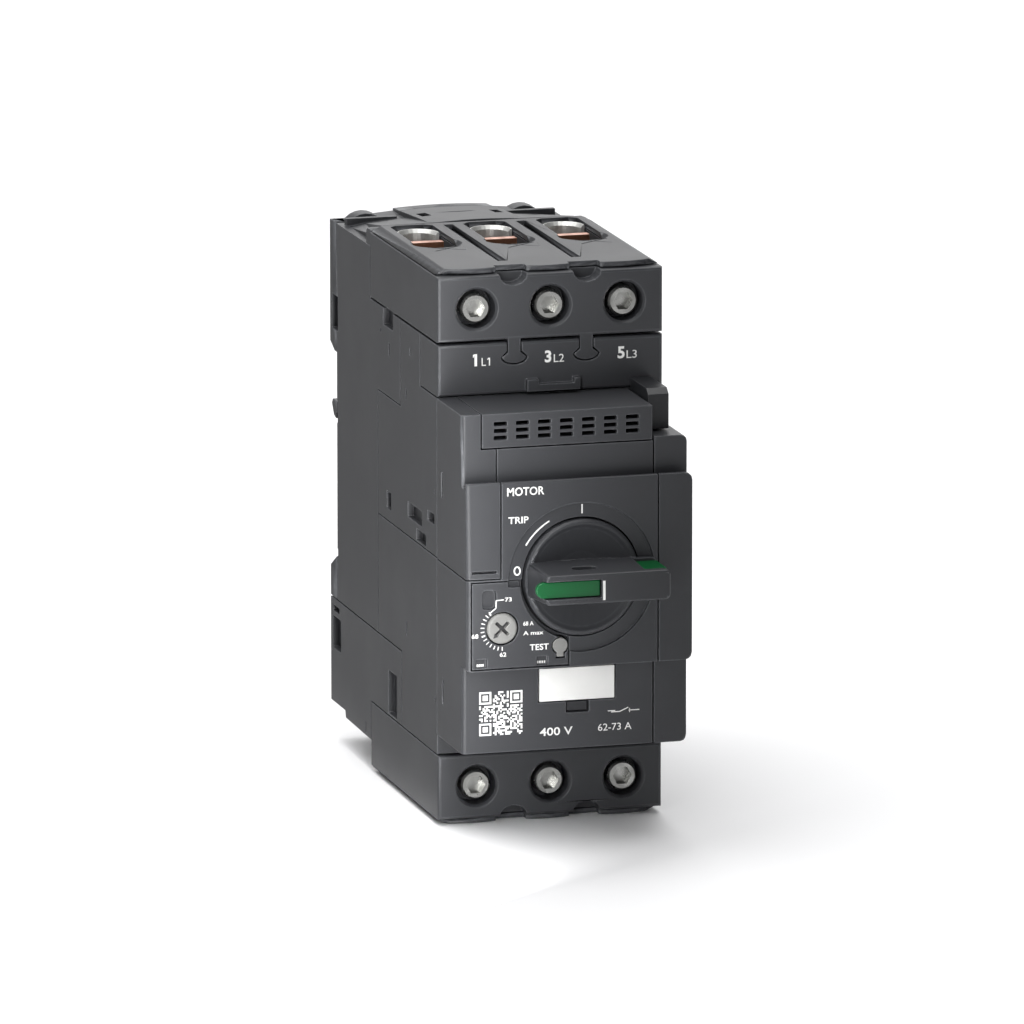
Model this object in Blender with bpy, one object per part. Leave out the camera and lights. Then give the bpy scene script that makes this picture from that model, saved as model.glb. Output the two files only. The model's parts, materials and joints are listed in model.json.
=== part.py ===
"""Three-pole motor protection breaker with a rotary handle, modelled as the pieces it comes apart into.

Millimetres in the constants and outlines, metres in the finished objects (see MM).
The frame: X to the right seen from the front, the front faces -Y, +Z is up.
The origin is the middle of the face that seats on a 35 mm mounting rail.
"""
import math

import bmesh
import bpy
from mathutils import Matrix, Vector

MM = 0.001

# ---- driving dimensions, in millimetres -------------------------------------------------
WIDTH = 55.0                 # module width of the frame size
HALF = WIDTH / 2
GAP = 0.3                    # clearance that touching pieces keep
WALL = 2.5                   # moulded wall thickness

BACK_Y = 6.5                 # back plane, behind the rail seat
TERMINAL_BACK_Y = -31.2      # back of the two terminal blocks
CASE_SEAM_Y = -37.8          # rear base meets the two front cases
SHOULDER_SEAM_Y = -58.4      # rear base reaches further forward above the upper case
CASE_FRONT_Y = -91.2         # front of the cases, back of the covers
TERMINAL_FRONT_Y = -92.2
COVER_FRONT_Y = -113.2       # vent, band and lower section of the covers
KNOB_FRONT_Y = -117.3        # raised section that carries the handle
HANDLE_FRONT_Y = -130.6

MIDDLE_Z = 2.8               # middle between the top and the bottom of the terminals
EDGE_H = 65.2                # terminal block edge, from MIDDLE_Z
LID_H = 66.7                 # terminal lid, from MIDDLE_Z
BLOCK_H = 49.6               # inner face of a terminal block, from MIDDLE_Z
SCREW_H = 57.3               # terminal screw axis, from MIDDLE_Z
LID_HALF = 24.9              # half the width of a lid's face
LID_FOOT_HALF = 27.2         # and of its foot
CAGE_H = 66.2                # outer end of a clamp cage, from MIDDLE_Z
BASE_TOP_Z = 64.6
SHOULDER_Z = 31.3            # step of the rear base over the upper case
CASE_TOP_Z = 51.9
CASE_SPLIT_Z = 0.8           # upper case meets lower case
BASE_SPLIT_Z = -28.2         # rear base meets the rear lower case
CASE_BOTTOM_Z = -46.5
COVER_TOP_Z = 39.2
BAND_TOP_Z = 31.1
KNOB_TOP_Z = 23.6
GROOVE_DEEP = 1.4            # shadow groove behind the top lip of the raised section
LIP_BACK_Y = -116.1
KNOB_BOTTOM_Z = -21.3
COVER_BOTTOM_Z = -41.8

RAIL_HALF = 17.5             # half the height of a 35 mm rail
RAIL_SHEET = 1.5             # room for the rail's flange behind a hook
SEAT_HALF = 15.6             # half the height of the seat face between the two grips
SEAT_RELIEF_Y = -0.4         # floor beyond the seat face, under the hooks
HOOK_TOP_Z = 20.7            # top of the fixed hook
EAR_X = 19.8                 # middle of each ear at the back of the roof
ROOF_BACK_Y = BACK_Y         # the roof rises from here
ROOF_FRONT_Y = -28.6         # to here, where it meets the terminal lid
CROWN_HALF = 11.8            # half the width of the roof's crown
CROWN_Z = 66.45              # crown's edge at the back
CROWN_BOW = 0.45             # rise of the crown from its edge to its middle

POLES = (-18.0, 0.0, 18.0)   # pole pitch 18 mm
POLE_GAPS = (-9.0, 9.0)      # middle of the walls between the poles
POCKET_HALF = 7.0            # half width of one pole's chamber

KNOB_X = 0.6                 # axis of the rotary handle
KNOB_Z = 0.0
DISC_R = 13.9
DISH_R = 17.8
DISH_FLOOR_Y = -116.5
DIAL_X = -18.8               # axis of the current setting dial
DIAL_Z = -11.2
DIAL_R = 3.7
TEST_X = -4.6
TEST_Z = -16.1

DISC_ROUND = 64              # facets of the handle's disc and its dish
ROUND = 24                   # facets of a visible round
INNER_ROUND = 12             # facets of a hidden round

COLOURS = {
    "charcoal": ((0.062, 0.064, 0.070), 0.52, 0.0),
    "dark_grey": ((0.040, 0.041, 0.045), 0.50, 0.0),
    "light_grey": ((0.48, 0.48, 0.46), 0.45, 0.0),
    "green": ((0.0, 0.22, 0.05), 0.35, 0.0),
    "label_white": ((0.82, 0.82, 0.80), 0.50, 0.0),
    "zinc_steel": ((0.62, 0.62, 0.60), 0.30, 1.0),
    "iron": ((0.30, 0.30, 0.31), 0.45, 1.0),
    "copper": ((0.72, 0.36, 0.22), 0.32, 1.0),
    "chamber_cream": ((0.60, 0.56, 0.48), 0.60, 0.0),
}


# ---- scene and materials ---------------------------------------------------------------
def empty_scene():
    """Remove every object, so that the model starts from nothing."""
    for old in list(bpy.data.objects):
        bpy.data.objects.remove(old, do_unlink=True)


def make_material(name):
    """One Principled material with the colour, roughness and metallic value of its piece."""
    colour, roughness, metallic = COLOURS[name]
    material = bpy.data.materials.new(name)
    material.use_nodes = True
    shader = material.node_tree.nodes["Principled BSDF"]
    shader.inputs["Base Color"].default_value = (*colour, 1.0)
    shader.inputs["Roughness"].default_value = roughness
    shader.inputs["Metallic"].default_value = metallic
    return material


# ---- forms, drawn in millimetres -------------------------------------------------------
AXIS_POINT = {
    "X": lambda a, b, along: (along, a, b),
    "Y": lambda a, b, along: (a, along, b),
    "Z": lambda a, b, along: (a, b, along),
}


def lofted(rings):
    """Skin a closed form through rings of points that all have the same number of points."""
    form = bmesh.new()
    rows = [[form.verts.new(spot) for spot in ring] for ring in rings]
    form.faces.new(rows[0])
    form.faces.new(rows[-1])
    for lower, upper in zip(rows, rows[1:]):
        for index in range(len(lower)):
            after = (index + 1) % len(lower)
            form.faces.new((lower[index], lower[after], upper[after], upper[index]))
    bmesh.ops.recalc_face_normals(form, faces=form.faces)
    return form


def prism(outline, axis, start, end):
    """Sweep a closed outline, drawn in the two other coordinates, along one axis."""
    form = bmesh.new()
    point = AXIS_POINT[axis]
    return lofted([[point(a, b, start) for a, b in outline], [point(a, b, end) for a, b in outline]])


def block(x, y, z):
    """A rectangular form from three (low, high) pairs."""
    corners = [(x[0], y[0]), (x[1], y[0]), (x[1], y[1]), (x[0], y[1])]
    return prism(corners, "Z", z[0], z[1])


def arc(centre, radius, start, end, steps):
    """Points of an arc in degrees, both ends included."""
    points = []
    for index in range(steps + 1):
        angle = math.radians(start + (end - start) * index / steps)
        points.append((centre[0] + radius * math.cos(angle), centre[1] + radius * math.sin(angle)))
    return points


def circle(centre, radius, count):
    """Points of a full circle."""
    return arc(centre, radius, 0.0, 360.0, count)[:-1]


def rounded(low, high, radius, steps=3):
    """Points of a rectangle with four round corners."""
    (left, bottom), (right, top) = low, high
    corners = (
        ((right - radius, top - radius), 0.0),
        ((left + radius, top - radius), 90.0),
        ((left + radius, bottom + radius), 180.0),
        ((right - radius, bottom + radius), 270.0),
    )
    points = []
    for centre, start in corners:
        points += arc(centre, radius, start, start + 90.0, steps)
    return points


def turned(profile, centre, count, axis="Y"):
    """Turn a closed (radius, along) profile round an axis through centre; radius 0 closes an end."""
    form = bmesh.new()
    point = AXIS_POINT[axis]
    rings = []
    for radius, along in profile:
        if radius == 0.0:
            rings.append([form.verts.new(point(centre[0], centre[1], along))])
            continue
        ring = [form.verts.new(point(a, b, along)) for a, b in circle(centre, radius, count)]
        rings.append(ring)
    for lower, upper in zip(rings, rings[1:]):
        for index in range(count):
            after = (index + 1) % count
            if len(lower) == 1:
                form.faces.new((lower[0], upper[index], upper[after]))
            elif len(upper) == 1:
                form.faces.new((lower[index], lower[after], upper[0]))
            else:
                form.faces.new((lower[index], lower[after], upper[after], upper[index]))
    bmesh.ops.recalc_face_normals(form, faces=form.faces)
    return form


def rod(centre, radius, start, end, count=ROUND, axis="Y"):
    """A plain round bar along an axis."""
    return prism(circle(centre, radius, count), axis, start, end)


def together(*forms):
    """Put several forms that don't touch into one, for a single cut."""
    result = bmesh.new()
    for form in forms:
        scratch = bpy.data.meshes.new("scratch")
        form.to_mesh(scratch)
        form.free()
        result.from_mesh(scratch)
        bpy.data.meshes.remove(scratch)
    return result


def soften(form, width, steps, chosen):
    """Round the edges whose two end points both satisfy `chosen`."""
    edges = [edge for edge in form.edges if all(chosen(vert.co) for vert in edge.verts)]
    bmesh.ops.bevel(form, geom=edges, offset=width, segments=steps, profile=0.5, affect="EDGES")
    return form


def near(value, target):
    """True where a coordinate lies on a plane."""
    return abs(value - target) < 0.01


def span_of(centre, half):
    """A (low, high) pair round a centre."""
    return (centre - half, centre + half)


def strip(path, thickness):
    """Outline of a bent sheet: a centre path given a thickness, with square corners."""
    left, right = [], []
    for index, spot in enumerate(path):
        before = Vector(path[max(index - 1, 0)])
        after = Vector(path[min(index + 1, len(path) - 1)])
        here = Vector(spot)
        into = (here - before).normalized() if index > 0 else (after - here).normalized()
        out = (after - here).normalized() if index < len(path) - 1 else into
        mean = (into + out).normalized()
        normal = Vector((-mean.y, mean.x))
        reach = thickness / 2 / max(normal.dot(Vector((-into.y, into.x))), 0.3)
        left.append(tuple(here + normal * reach))
        right.append(tuple(here - normal * reach))
    return left + right[::-1]


# ---- objects ----------------------------------------------------------------------------
def add_object(name, form, origin=(0.0, 0.0, 0.0)):
    """Turn a form into an object in metres whose own origin is at `origin`."""
    bmesh.ops.translate(form, vec=-Vector(origin), verts=form.verts)
    bmesh.ops.scale(form, vec=(MM, MM, MM), verts=form.verts)
    bmesh.ops.recalc_face_normals(form, faces=form.faces)
    mesh = bpy.data.meshes.new(name)
    form.to_mesh(mesh)
    form.free()
    obj = bpy.data.objects.new(name, mesh)
    obj.location = Vector(origin) * MM
    bpy.context.scene.collection.objects.link(obj)
    return obj


def piece(name, form, material, origin=(0.0, 0.0, 0.0), parent=None):
    """A sub-part: its mesh, its material, its origin and the piece it is carried by."""
    obj = add_object(name, form, origin)
    obj.data.materials.append(bpy.data.materials[material])
    obj.data.set_sharp_from_angle(angle=math.radians(35.0))
    if parent is not None:
        obj.parent = parent
        obj.location = obj.location - parent.location
    return obj


def combine(obj, form, operation):
    """Cut a form out of a piece, or join it on, with the exact Boolean solver."""
    tool = add_object("tool", form)
    tool.hide_render = True
    tool.display_type = "WIRE"
    boolean = obj.modifiers.new(operation.lower(), "BOOLEAN")
    boolean.operation = operation
    boolean.solver = "EXACT"
    boolean.object = tool
    return obj


def cut(obj, form):
    """Take a form away from a piece."""
    return combine(obj, form, "DIFFERENCE")


def join(obj, form):
    """Add a form that overlaps a piece."""
    return combine(obj, form, "UNION")


def chambers(outline):
    """The same chamber in each pole, drawn as a (y, z) outline."""
    return together(*[prism(outline, "X", x - POCKET_HALF, x + POCKET_HALF) for x in POLES])


def both_sides(y, z, depth):
    """A shallow rectangular recess in each side face."""
    return together(
        block((-HALF - 1.0, -HALF + depth), y, z),
        block((HALF - depth, HALF + 1.0), y, z),
    )


# ---- casing ----------------------------------------------------------------------------
def roof_ring(y):
    """Section of the arched roof over the back: rising from the rail side to the terminals."""
    rise = (ROOF_BACK_Y - y) / (ROOF_BACK_Y - ROOF_FRONT_Y)
    steep = max(rise - 0.3, 0.0) / 0.7
    eave = (25.6 - 0.3 * steep, 64.4 + 2.2 * steep)
    shoulder = (21.5 + 2.4 * steep, 65.1 + 3.9 * steep)
    half = [eave, shoulder, (12.0, 65.9 + 3.2 * steep)]
    right = [(x, y, z) for x, z in half]
    left = [(-x, y, z) for x, z in reversed(half)]
    return [(half[0][0], y, 60.0), *right, *left, (-half[0][0], y, 60.0)]


def crown_ring(y):
    """Section of the crown in the middle of the roof, a little higher and gently bowed."""
    rise = (ROOF_BACK_Y - y) / (ROOF_BACK_Y - ROOF_FRONT_Y)
    bow = [(x, y, CROWN_Z + CROWN_BOW * (1.0 - (x / CROWN_HALF) ** 2) + (69.0 - CROWN_Z) * rise)
           for x in (11.8, 7.9, 3.9, 0.0, -3.9, -7.9, -11.8)]
    return [(CROWN_HALF, y, 60.0), *bow, (-CROWN_HALF, y, 60.0)]


def roof(section, places):
    """Part of the roof through sections at several places in Y, in flat triangles."""
    form = lofted([section(y) for y in places])
    bmesh.ops.triangulate(form, faces=form.faces)
    return form


def rear_base():
    """Rear shell: back wall with the rail seat, and the roof that rises to the terminals."""
    outline = [
        (0.0, BASE_TOP_Z), (TERMINAL_BACK_Y + GAP, BASE_TOP_Z),
        (TERMINAL_BACK_Y + GAP, CASE_TOP_Z), (SHOULDER_SEAM_Y, CASE_TOP_Z),
        (SHOULDER_SEAM_Y, SHOULDER_Z), (CASE_SEAM_Y, SHOULDER_Z),
        (CASE_SEAM_Y, BASE_SPLIT_Z), (0.0, BASE_SPLIT_Z),
        (0.0, -RAIL_HALF - GAP), (SEAT_RELIEF_Y, -RAIL_HALF - GAP),
        (SEAT_RELIEF_Y, -SEAT_HALF), (0.0, -SEAT_HALF), (0.0, SEAT_HALF), (SEAT_RELIEF_Y, SEAT_HALF),
        (SEAT_RELIEF_Y, HOOK_TOP_Z + GAP), (0.0, HOOK_TOP_Z + GAP),
    ]
    base = piece("rear_base", prism(outline, "X", -HALF, HALF), "charcoal")
    join(base, roof(roof_ring, (-0.1, -4.1, ROOF_FRONT_Y)))
    join(base, roof(crown_ring, (-0.1, ROOF_FRONT_Y)))
    rib = soften(
        block((-HALF + 0.2, HALF - 0.2), (TERMINAL_BACK_Y + GAP + 0.1, -26.7), (60.0, 68.5)),
        0.8, 2, lambda co: near(abs(co.x), HALF - 0.2) and co.z > 61.0,
    )
    join(base, rib)
    ridges = together(*[block((x - 6.4, x + 6.4), (-3.9, -2.4), (60.0, 66.3)) for x in (-EAR_X, EAR_X)])
    join(base, ridges)
    cut(base, chambers([(-3.2, -25.2), (-3.2, 48.9), (-70.0, 48.9), (-70.0, -25.2)]))
    slots = together(
        *[block((x - 1.15, x + 1.15), (-15.4, -9.2), (60.5, 72.0)) for x in POLE_GAPS],
        *[block((x - 5.6, x + 5.6), (-5.6, -4.4), (62.6, 72.0)) for x in (-EAR_X, EAR_X)],
        *[block((x - 5.6, x + 5.6), (-1.9, -1.0), (63.6, 72.0)) for x in (-EAR_X, EAR_X)],
        prism(arc((-0.6, -2.0), 9.9, 240.0, 300.0, 6), "Z", 64.6, 72.0),
    )
    cut(base, slots)
    bar_slots = together(*[block((x - 4.3, x + 4.3), (-50.2, -46.0), (45.0, 60.0)) for x in POLES])
    cut(base, bar_slots)
    cut(base, block((-24.9, 24.9), (-40.0, -33.4), (-4.4, 4.4)))
    side = together(
        both_sides((-51.9, -42.9), (47.9, 53.0), 1.6),
        both_sides((-48.8, -47.9), (41.1, 44.2), 1.4),
        both_sides((-41.0, -40.2), (45.6, 46.4), 1.0),
        both_sides((-0.9, 1.0), (38.2, 46.6), 1.8),
    )
    cut(base, side)
    return base


def rail_foot():
    """Upper foot behind the base: the fixed hook that takes the rail's upper edge, and two ears."""
    back = BACK_Y
    outline = [(GAP, 32.9), (2.4, 32.9), (back, 34.7), (back, BASE_TOP_Z), (GAP, BASE_TOP_Z)]
    foot = piece("rail_foot", prism(outline, "X", -HALF, HALF), "charcoal")
    join(foot, roof(roof_ring, (GAP + 0.1, back - 0.3)))
    join(foot, roof(crown_ring, (GAP + 0.1, back - 0.2)))
    join(foot, together(*[rod((x, 60.9), 5.5, 1.4, back - 0.2) for x in (-EAR_X, EAR_X)]))
    join(foot, together(*[block(span_of(x, 1.0), (GAP, 1.2), (19.6, 33.2)) for x in (-13.0, 13.0)]))
    hook = [
        (GAP, RAIL_HALF + 0.4), (RAIL_SHEET, RAIL_HALF + 0.4), (RAIL_SHEET, RAIL_HALF - 1.2),
        (3.6, RAIL_HALF - 0.6), (5.4, 19.6), (4.6, HOOK_TOP_Z), (GAP, HOOK_TOP_Z),
    ]
    join(foot, prism(hook, "X", -HALF + 0.1, HALF - 0.1))
    cut(foot, both_sides((-1.0, 4.8), (38.2, 46.6), 1.8))
    return foot


def lower_foot():
    """Lower foot behind the base, on both sides of the rail latch."""
    outline = [
        (GAP, -RAIL_HALF - GAP), (RAIL_SHEET / 2, -RAIL_HALF), (BACK_Y, -20.6),
        (BACK_Y, BASE_SPLIT_Z), (GAP, BASE_SPLIT_Z),
    ]
    foot = piece("lower_foot", prism(outline, "X", -HALF, HALF), "charcoal")
    cut(foot, block((-9.4, 9.4), (1.2, 10.0), (-40.0, -14.0)))
    return foot


def rear_lower_case():
    """Lower rear shell with the channel of the rail latch."""
    outline = [
        (BACK_Y, BASE_SPLIT_Z - GAP), (BACK_Y, -54.3), (-6.8, -54.3), (-7.3, -56.0),
        (TERMINAL_BACK_Y + GAP, -56.3), (TERMINAL_BACK_Y + GAP, CASE_BOTTOM_Z),
        (SHOULDER_SEAM_Y - 0.7, CASE_BOTTOM_Z), (SHOULDER_SEAM_Y - 0.7, BASE_SPLIT_Z - GAP),
    ]
    case = piece("rear_lower_case", prism(outline, "X", -HALF, HALF), "charcoal")
    cut(case, chambers([(-10.0, -20.0), (-10.0, -43.5), (-55.5, -43.5), (-55.5, -20.0)]))
    cut(case, together(*[block((x - 4.3, x + 4.3), (-50.2, -46.0), (-50.0, -40.0)) for x in POLES]))
    cut(case, block((-9.4, 9.4), (1.2, 10.0), (-60.0, -20.0)))
    cut(case, block((-3.4, 3.4), (-4.2, 2.0), (-47.4, -33.0)))
    side = together(
        both_sides((-55.0, -47.1), (-46.0, -35.5), 1.6),
        both_sides((-3.1, 4.5), (-40.8, -32.9), 1.8),
        both_sides((-1.5, 4.5), (-31.6, -30.2), 1.4),
        both_sides((-26.6, -25.8), (-55.4, -52.9), 1.0),
    )
    cut(case, side)
    return case


def upper_case():
    """Upper front shell over the contacts and arc chutes."""
    outline = [
        (CASE_SEAM_Y - GAP, CASE_SPLIT_Z + GAP), (CASE_SEAM_Y - GAP, SHOULDER_Z - GAP),
        (SHOULDER_SEAM_Y - GAP, SHOULDER_Z - GAP), (SHOULDER_SEAM_Y - GAP, CASE_TOP_Z),
        (-76.2, CASE_TOP_Z), (-76.2, COVER_TOP_Z), (CASE_FRONT_Y, COVER_TOP_Z),
        (CASE_FRONT_Y, CASE_SPLIT_Z + GAP),
    ]
    case = piece("upper_case", prism(outline, "X", -HALF, HALF), "charcoal")
    cut(case, chambers([(-30.0, -5.0), (-30.0, 36.0), (-60.9, 36.0), (-60.9, 48.6),
                        (-73.5, 48.6), (-73.5, 36.0), (-88.2, 36.0), (-88.2, -5.0)]))
    cut(case, block((-16.0, 16.0), (-95.0, -60.0), (-2.0, 10.0)))
    cut(case, block((-24.9, 24.9), (-47.0, -30.0), (-2.0, 6.0)))
    side = together(
        both_sides((-77.8, -65.1), (5.6, 9.3), 1.6),
        both_sides((-89.0, -82.8), (8.4, 10.8), 1.6),
        both_sides((-81.4, -72.8), (1.6, 4.3), 1.6),
        both_sides((-50.0, -45.9), (3.9, 8.1), 1.2),
        both_sides((-64.2, -63.4), (33.7, 36.4), 1.4),
        both_sides((-67.7, -66.9), (44.9, 46.6), 1.0),
        both_sides((-89.75, -88.95), (16.0, 16.8), 1.0),
    )
    cut(case, side)
    return case


def lower_case():
    """Lower front shell over the magnetic and thermal releases."""
    outline = [
        (CASE_SEAM_Y - GAP, CASE_SPLIT_Z), (CASE_FRONT_Y, CASE_SPLIT_Z), (CASE_FRONT_Y, CASE_BOTTOM_Z),
        (SHOULDER_SEAM_Y - 1.0, CASE_BOTTOM_Z), (SHOULDER_SEAM_Y - 1.0, BASE_SPLIT_Z),
        (CASE_SEAM_Y - GAP, BASE_SPLIT_Z),
    ]
    case = piece("lower_case", prism(outline, "X", -HALF, HALF), "charcoal")
    cut(case, chambers([(-30.0, 5.0), (-88.2, 5.0), (-88.2, -43.8), (-62.0, -43.8),
                        (-62.0, -25.4), (-30.0, -25.4)]))
    cut(case, block((-16.0, 16.0), (-95.0, -60.0), (-10.0, 5.0)))
    cut(case, block((-24.9, 24.9), (-47.0, -30.0), (-6.0, 5.0)))
    cut(case, block((-24.9, 24.9), (-86.5, -76.5), (-10.0, 5.0)))
    cut(case, together(*[block((x - 4.3, x + 4.3), (-50.2, -46.0), (-30.0, -20.0)) for x in POLES]))
    side = together(
        both_sides((-64.2, -63.4), (-23.5, -20.1), 1.4),
        both_sides((-89.8, -89.0), (-33.7, -32.9), 1.0),
    )
    cut(case, side)
    return case


def keyhole(x, margin=0.0):
    """Outline of one keyhole tab: a neck with a wide, flat round foot."""
    neck, foot_width, foot_depth, foot_z = 1.5 + margin, 2.95 + margin, 1.6 + margin, 48.3
    foot = [(a, foot_z + (b - foot_z) * foot_depth / foot_width)
            for a, b in arc((x, foot_z), foot_width, 180.0, 360.0, 10)]
    return [(x - neck, 53.0), (x - neck, 49.3 + margin), *foot, (x + neck, 49.3 + margin), (x + neck, 53.0)]


def terminal_cover():
    """Marked cover below the upper terminals, with the accessory latch on its front."""
    shape = block((-HALF, HALF), (TERMINAL_FRONT_Y, -76.5), (COVER_TOP_Z + GAP, CASE_TOP_Z))
    shape = soften(shape, 0.8, 2, lambda co: near(co.y, TERMINAL_FRONT_Y) and near(abs(co.x), HALF))
    cover = piece("terminal_cover", shape, "charcoal")
    cut(cover, block((-24.5, 24.5), (-90.0, -70.0), (42.0, 46.5)))
    pockets = [prism(keyhole(x, GAP), "Y", -95.0, -89.8) for x in (-8.8, 8.8)]
    cut(cover, together(*pockets))
    latch = [
        (-6.1, 40.1), (-6.1, 42.9), (-3.2, 42.9), (-3.2, 41.7),
        (5.4, 41.7), (5.4, 42.9), (6.9, 42.9), (6.9, 40.1),
    ]
    join(cover, prism(latch, "Y", TERMINAL_FRONT_Y - 1.7, TERMINAL_FRONT_Y + 1.0))
    return cover


# ---- terminals -------------------------------------------------------------------------
def at_height(side, height):
    """Height of a terminal feature: side is +1 for the line end, -1 for the load end."""
    return MIDDLE_Z + side * height


def span(side, low, high):
    """A (low, high) pair in Z from two heights above the middle."""
    return tuple(sorted((at_height(side, low), at_height(side, high))))


def terminal_block(name, side):
    """Terminal block: three wells for the clamps, screw bores, gaps and front notches."""
    shape = block((-HALF, HALF), (TERMINAL_FRONT_Y, TERMINAL_BACK_Y), span(side, BLOCK_H, EDGE_H))
    shape = soften(shape, 0.8, 2, lambda co: near(co.y, TERMINAL_FRONT_Y) and near(abs(co.x), HALF))
    body = piece(name, shape, "charcoal")
    wells = [block((x - 5.2, x + 5.2), (-71.2, -33.4), span(side, 51.2, 70.0)) for x in POLES]
    cut(body, together(*wells))
    cut(body, together(*[block((x - 4.2, x + 4.2), (-49.9, -46.3), span(side, 45.0, 52.0)) for x in POLES]))
    bore = [
        (0.0, -95.0), (5.3, -95.0), (5.3, TERMINAL_FRONT_Y), (4.7, TERMINAL_FRONT_Y + 0.7),
        (4.7, -86.3), (3.3, -86.3), (3.3, -70.0), (0.0, -70.0),
    ]
    cut(body, together(*[turned(bore, (x, at_height(side, SCREW_H)), ROUND) for x in POLES]))
    low, high = span(side, 62.6, 70.0)
    notches = [prism(rounded((x - 3.5, low), (x + 3.5, high), 3.1), "Y", -95.0, -88.0) for x in POLE_GAPS]
    cut(body, together(*notches))
    gaps = [block((x - 1.1, x + 1.1), (-82.5, -34.0), span(side, 52.5, 70.0)) for x in POLE_GAPS]
    cut(body, together(*gaps))
    if side > 0:
        tabs = [prism(keyhole(x), "Y", TERMINAL_FRONT_Y + 0.2, TERMINAL_FRONT_Y + 2.0) for x in (-8.8, 8.8)]
        join(body, together(*tabs))
    return body


def lid_front_edge():
    """Front edge of a lid: one shallow forward bow in front of each pole."""
    points = []
    for x in POLES:
        for step in range(9):
            across = -1.0 + step / 4
            points.append((x + 8.0 * across, -90.6 + 1.8 * across * across))
    points[0] = (-LID_HALF, points[0][1])
    points[-1] = (LID_HALF, points[-1][1])
    return points


def crossed_strokes(x, low, high):
    """Two crossed engraved strokes between a wire entry and its screw."""
    strokes = []
    for start, end in (((-3.5, -61.8), (4.4, -66.7)), ((-3.1, -66.7), (4.6, -61.3))):
        path = [(x + start[0], start[1]), (x + end[0], end[1])]
        strokes.append(prism(strip(path, 0.45), "Z", low, high))
    return strokes


def terminal_lid(name, side):
    """Lid of a terminal block: bevelled long sides, bowed front, three arched wire entries."""
    foot, face = at_height(side, EDGE_H + GAP), at_height(side, LID_H)
    outline = [(LID_HALF, TERMINAL_BACK_Y - 0.2), (-LID_HALF, TERMINAL_BACK_Y - 0.2)] + lid_front_edge()
    wider = [(math.copysign(LID_FOOT_HALF, a) if near(abs(a), LID_HALF) else a, b) for a, b in outline]
    form = lofted([[(*spot, foot) for spot in wider], [(*spot, face) for spot in outline]])
    lid = piece(name, form, "charcoal")
    below, above = sorted((foot - 3.0 * side, face + 3.0 * side))
    entries = []
    for x in POLES:
        entry = [(x - 5.2, -34.0), (x - 5.2, -56.4)]
        entry += arc((x, -56.4), 5.2, 187.0, 353.0, 10)
        entry += [(x + 5.2, -56.4), (x + 5.2, -34.0), (x + 3.4, -32.4), (x - 3.4, -32.4)]
        entries.append(prism(entry, "Z", below, above))
    cut(lid, together(*entries))
    mouth = [
        (0.0, foot - side), (5.15, foot - side), (5.15, foot),
        (6.2, face), (6.2, face + side), (0.0, face + side),
    ]
    cut(lid, together(*[turned(mouth, (x, -56.4), ROUND, "Z") for x in POLES]))
    gaps = [block((x - 1.1, x + 1.1), (-82.5, -34.0), (below, above)) for x in POLE_GAPS]
    notches = [block((x - 3.7, x + 3.7), (-95.0, -87.7), (below, above)) for x in POLE_GAPS]
    cut(lid, together(*gaps, *notches))
    engraved = sorted((face - 0.3 * side, face + side))
    for x in POLES:
        for stroke in crossed_strokes(x, *engraved):
            cut(lid, stroke)
    return lid


def terminal_screw(name, x, side):
    """Clamp screw with a hexagon socket, turning about its own axis."""
    centre = (x, at_height(side, SCREW_H))
    profile = [
        (0.0, -91.2), (3.1, -91.2), (3.6, -90.7), (3.6, -87.4), (2.8, -87.4),
        (2.8, -51.0), (2.1, -50.0), (0.0, -50.0),
    ]
    screw = piece(name, turned(profile, centre, ROUND), "zinc_steel", (centre[0], -91.2, centre[1]))
    cut(screw, rod(centre, 2.35, -95.0, -88.6, 6))
    return screw


def clamp_cage(name, x, side):
    """Box clamp: a round-backed steel collar with a flared mouth and a thick threaded front wall."""
    bend_y, outside, inside = -39.7, 4.9, 4.1
    outer = [(x + outside, -62.6)] + arc((x, bend_y), outside, 0.0, 180.0, 14) + [(x - outside, -62.6)]
    inner = [(x + inside, -59.0)] + arc((x, bend_y), inside, 0.0, 180.0, 14) + [(x - inside, -59.0)]
    middle = at_height(side, SCREW_H)
    low, high = span(side, 51.6, CAGE_H)
    cage = piece(name, prism(outer, "Z", low, high), "zinc_steel", (x, -62.6, middle))
    cut(cage, prism(inner, "Z", low - 2.0, high + 2.0))
    flare = [
        (0.0, CAGE_H - 0.9), (inside, CAGE_H - 0.9), (outside - 0.15, CAGE_H),
        (outside - 0.15, CAGE_H + 2.0), (0.0, CAGE_H + 2.0),
    ]
    mouth = [(radius, at_height(side, height)) for radius, height in flare]
    cut(cage, turned(mouth, (x, bend_y), ROUND, "Z"))
    cut(cage, block((x - 6.0, x + 6.0), (-64.0, -41.0), span(side, 61.6, 70.0)))
    cut(cage, rod((x, middle), 3.0, -65.0, -58.0, INNER_ROUND))
    return cage


def line_bar(name, x):
    """Copper bar from a line clamp down to the fixed contact, with its silvered tip."""
    path = [(-48.1, 68.3), (-48.1, 44.5), (-22.0, 36.0), (-22.0, 8.0)]
    bar = piece(name, prism(strip(path, 2.5), "X", x - 3.8, x + 3.8), "copper")
    join(bar, block((x - 3.0, x + 3.0), (-24.0, -22.5), (9.0, 14.0)))
    return bar


def load_bar(name, x):
    """Copper bar from the thermal release down to a load clamp."""
    path = [(-48.1, -62.7), (-48.1, -21.0), (-60.0, -21.0)]
    return piece(name, prism(strip(path, 2.5), "X", x - 3.8, x + 3.8), "copper")


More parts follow.
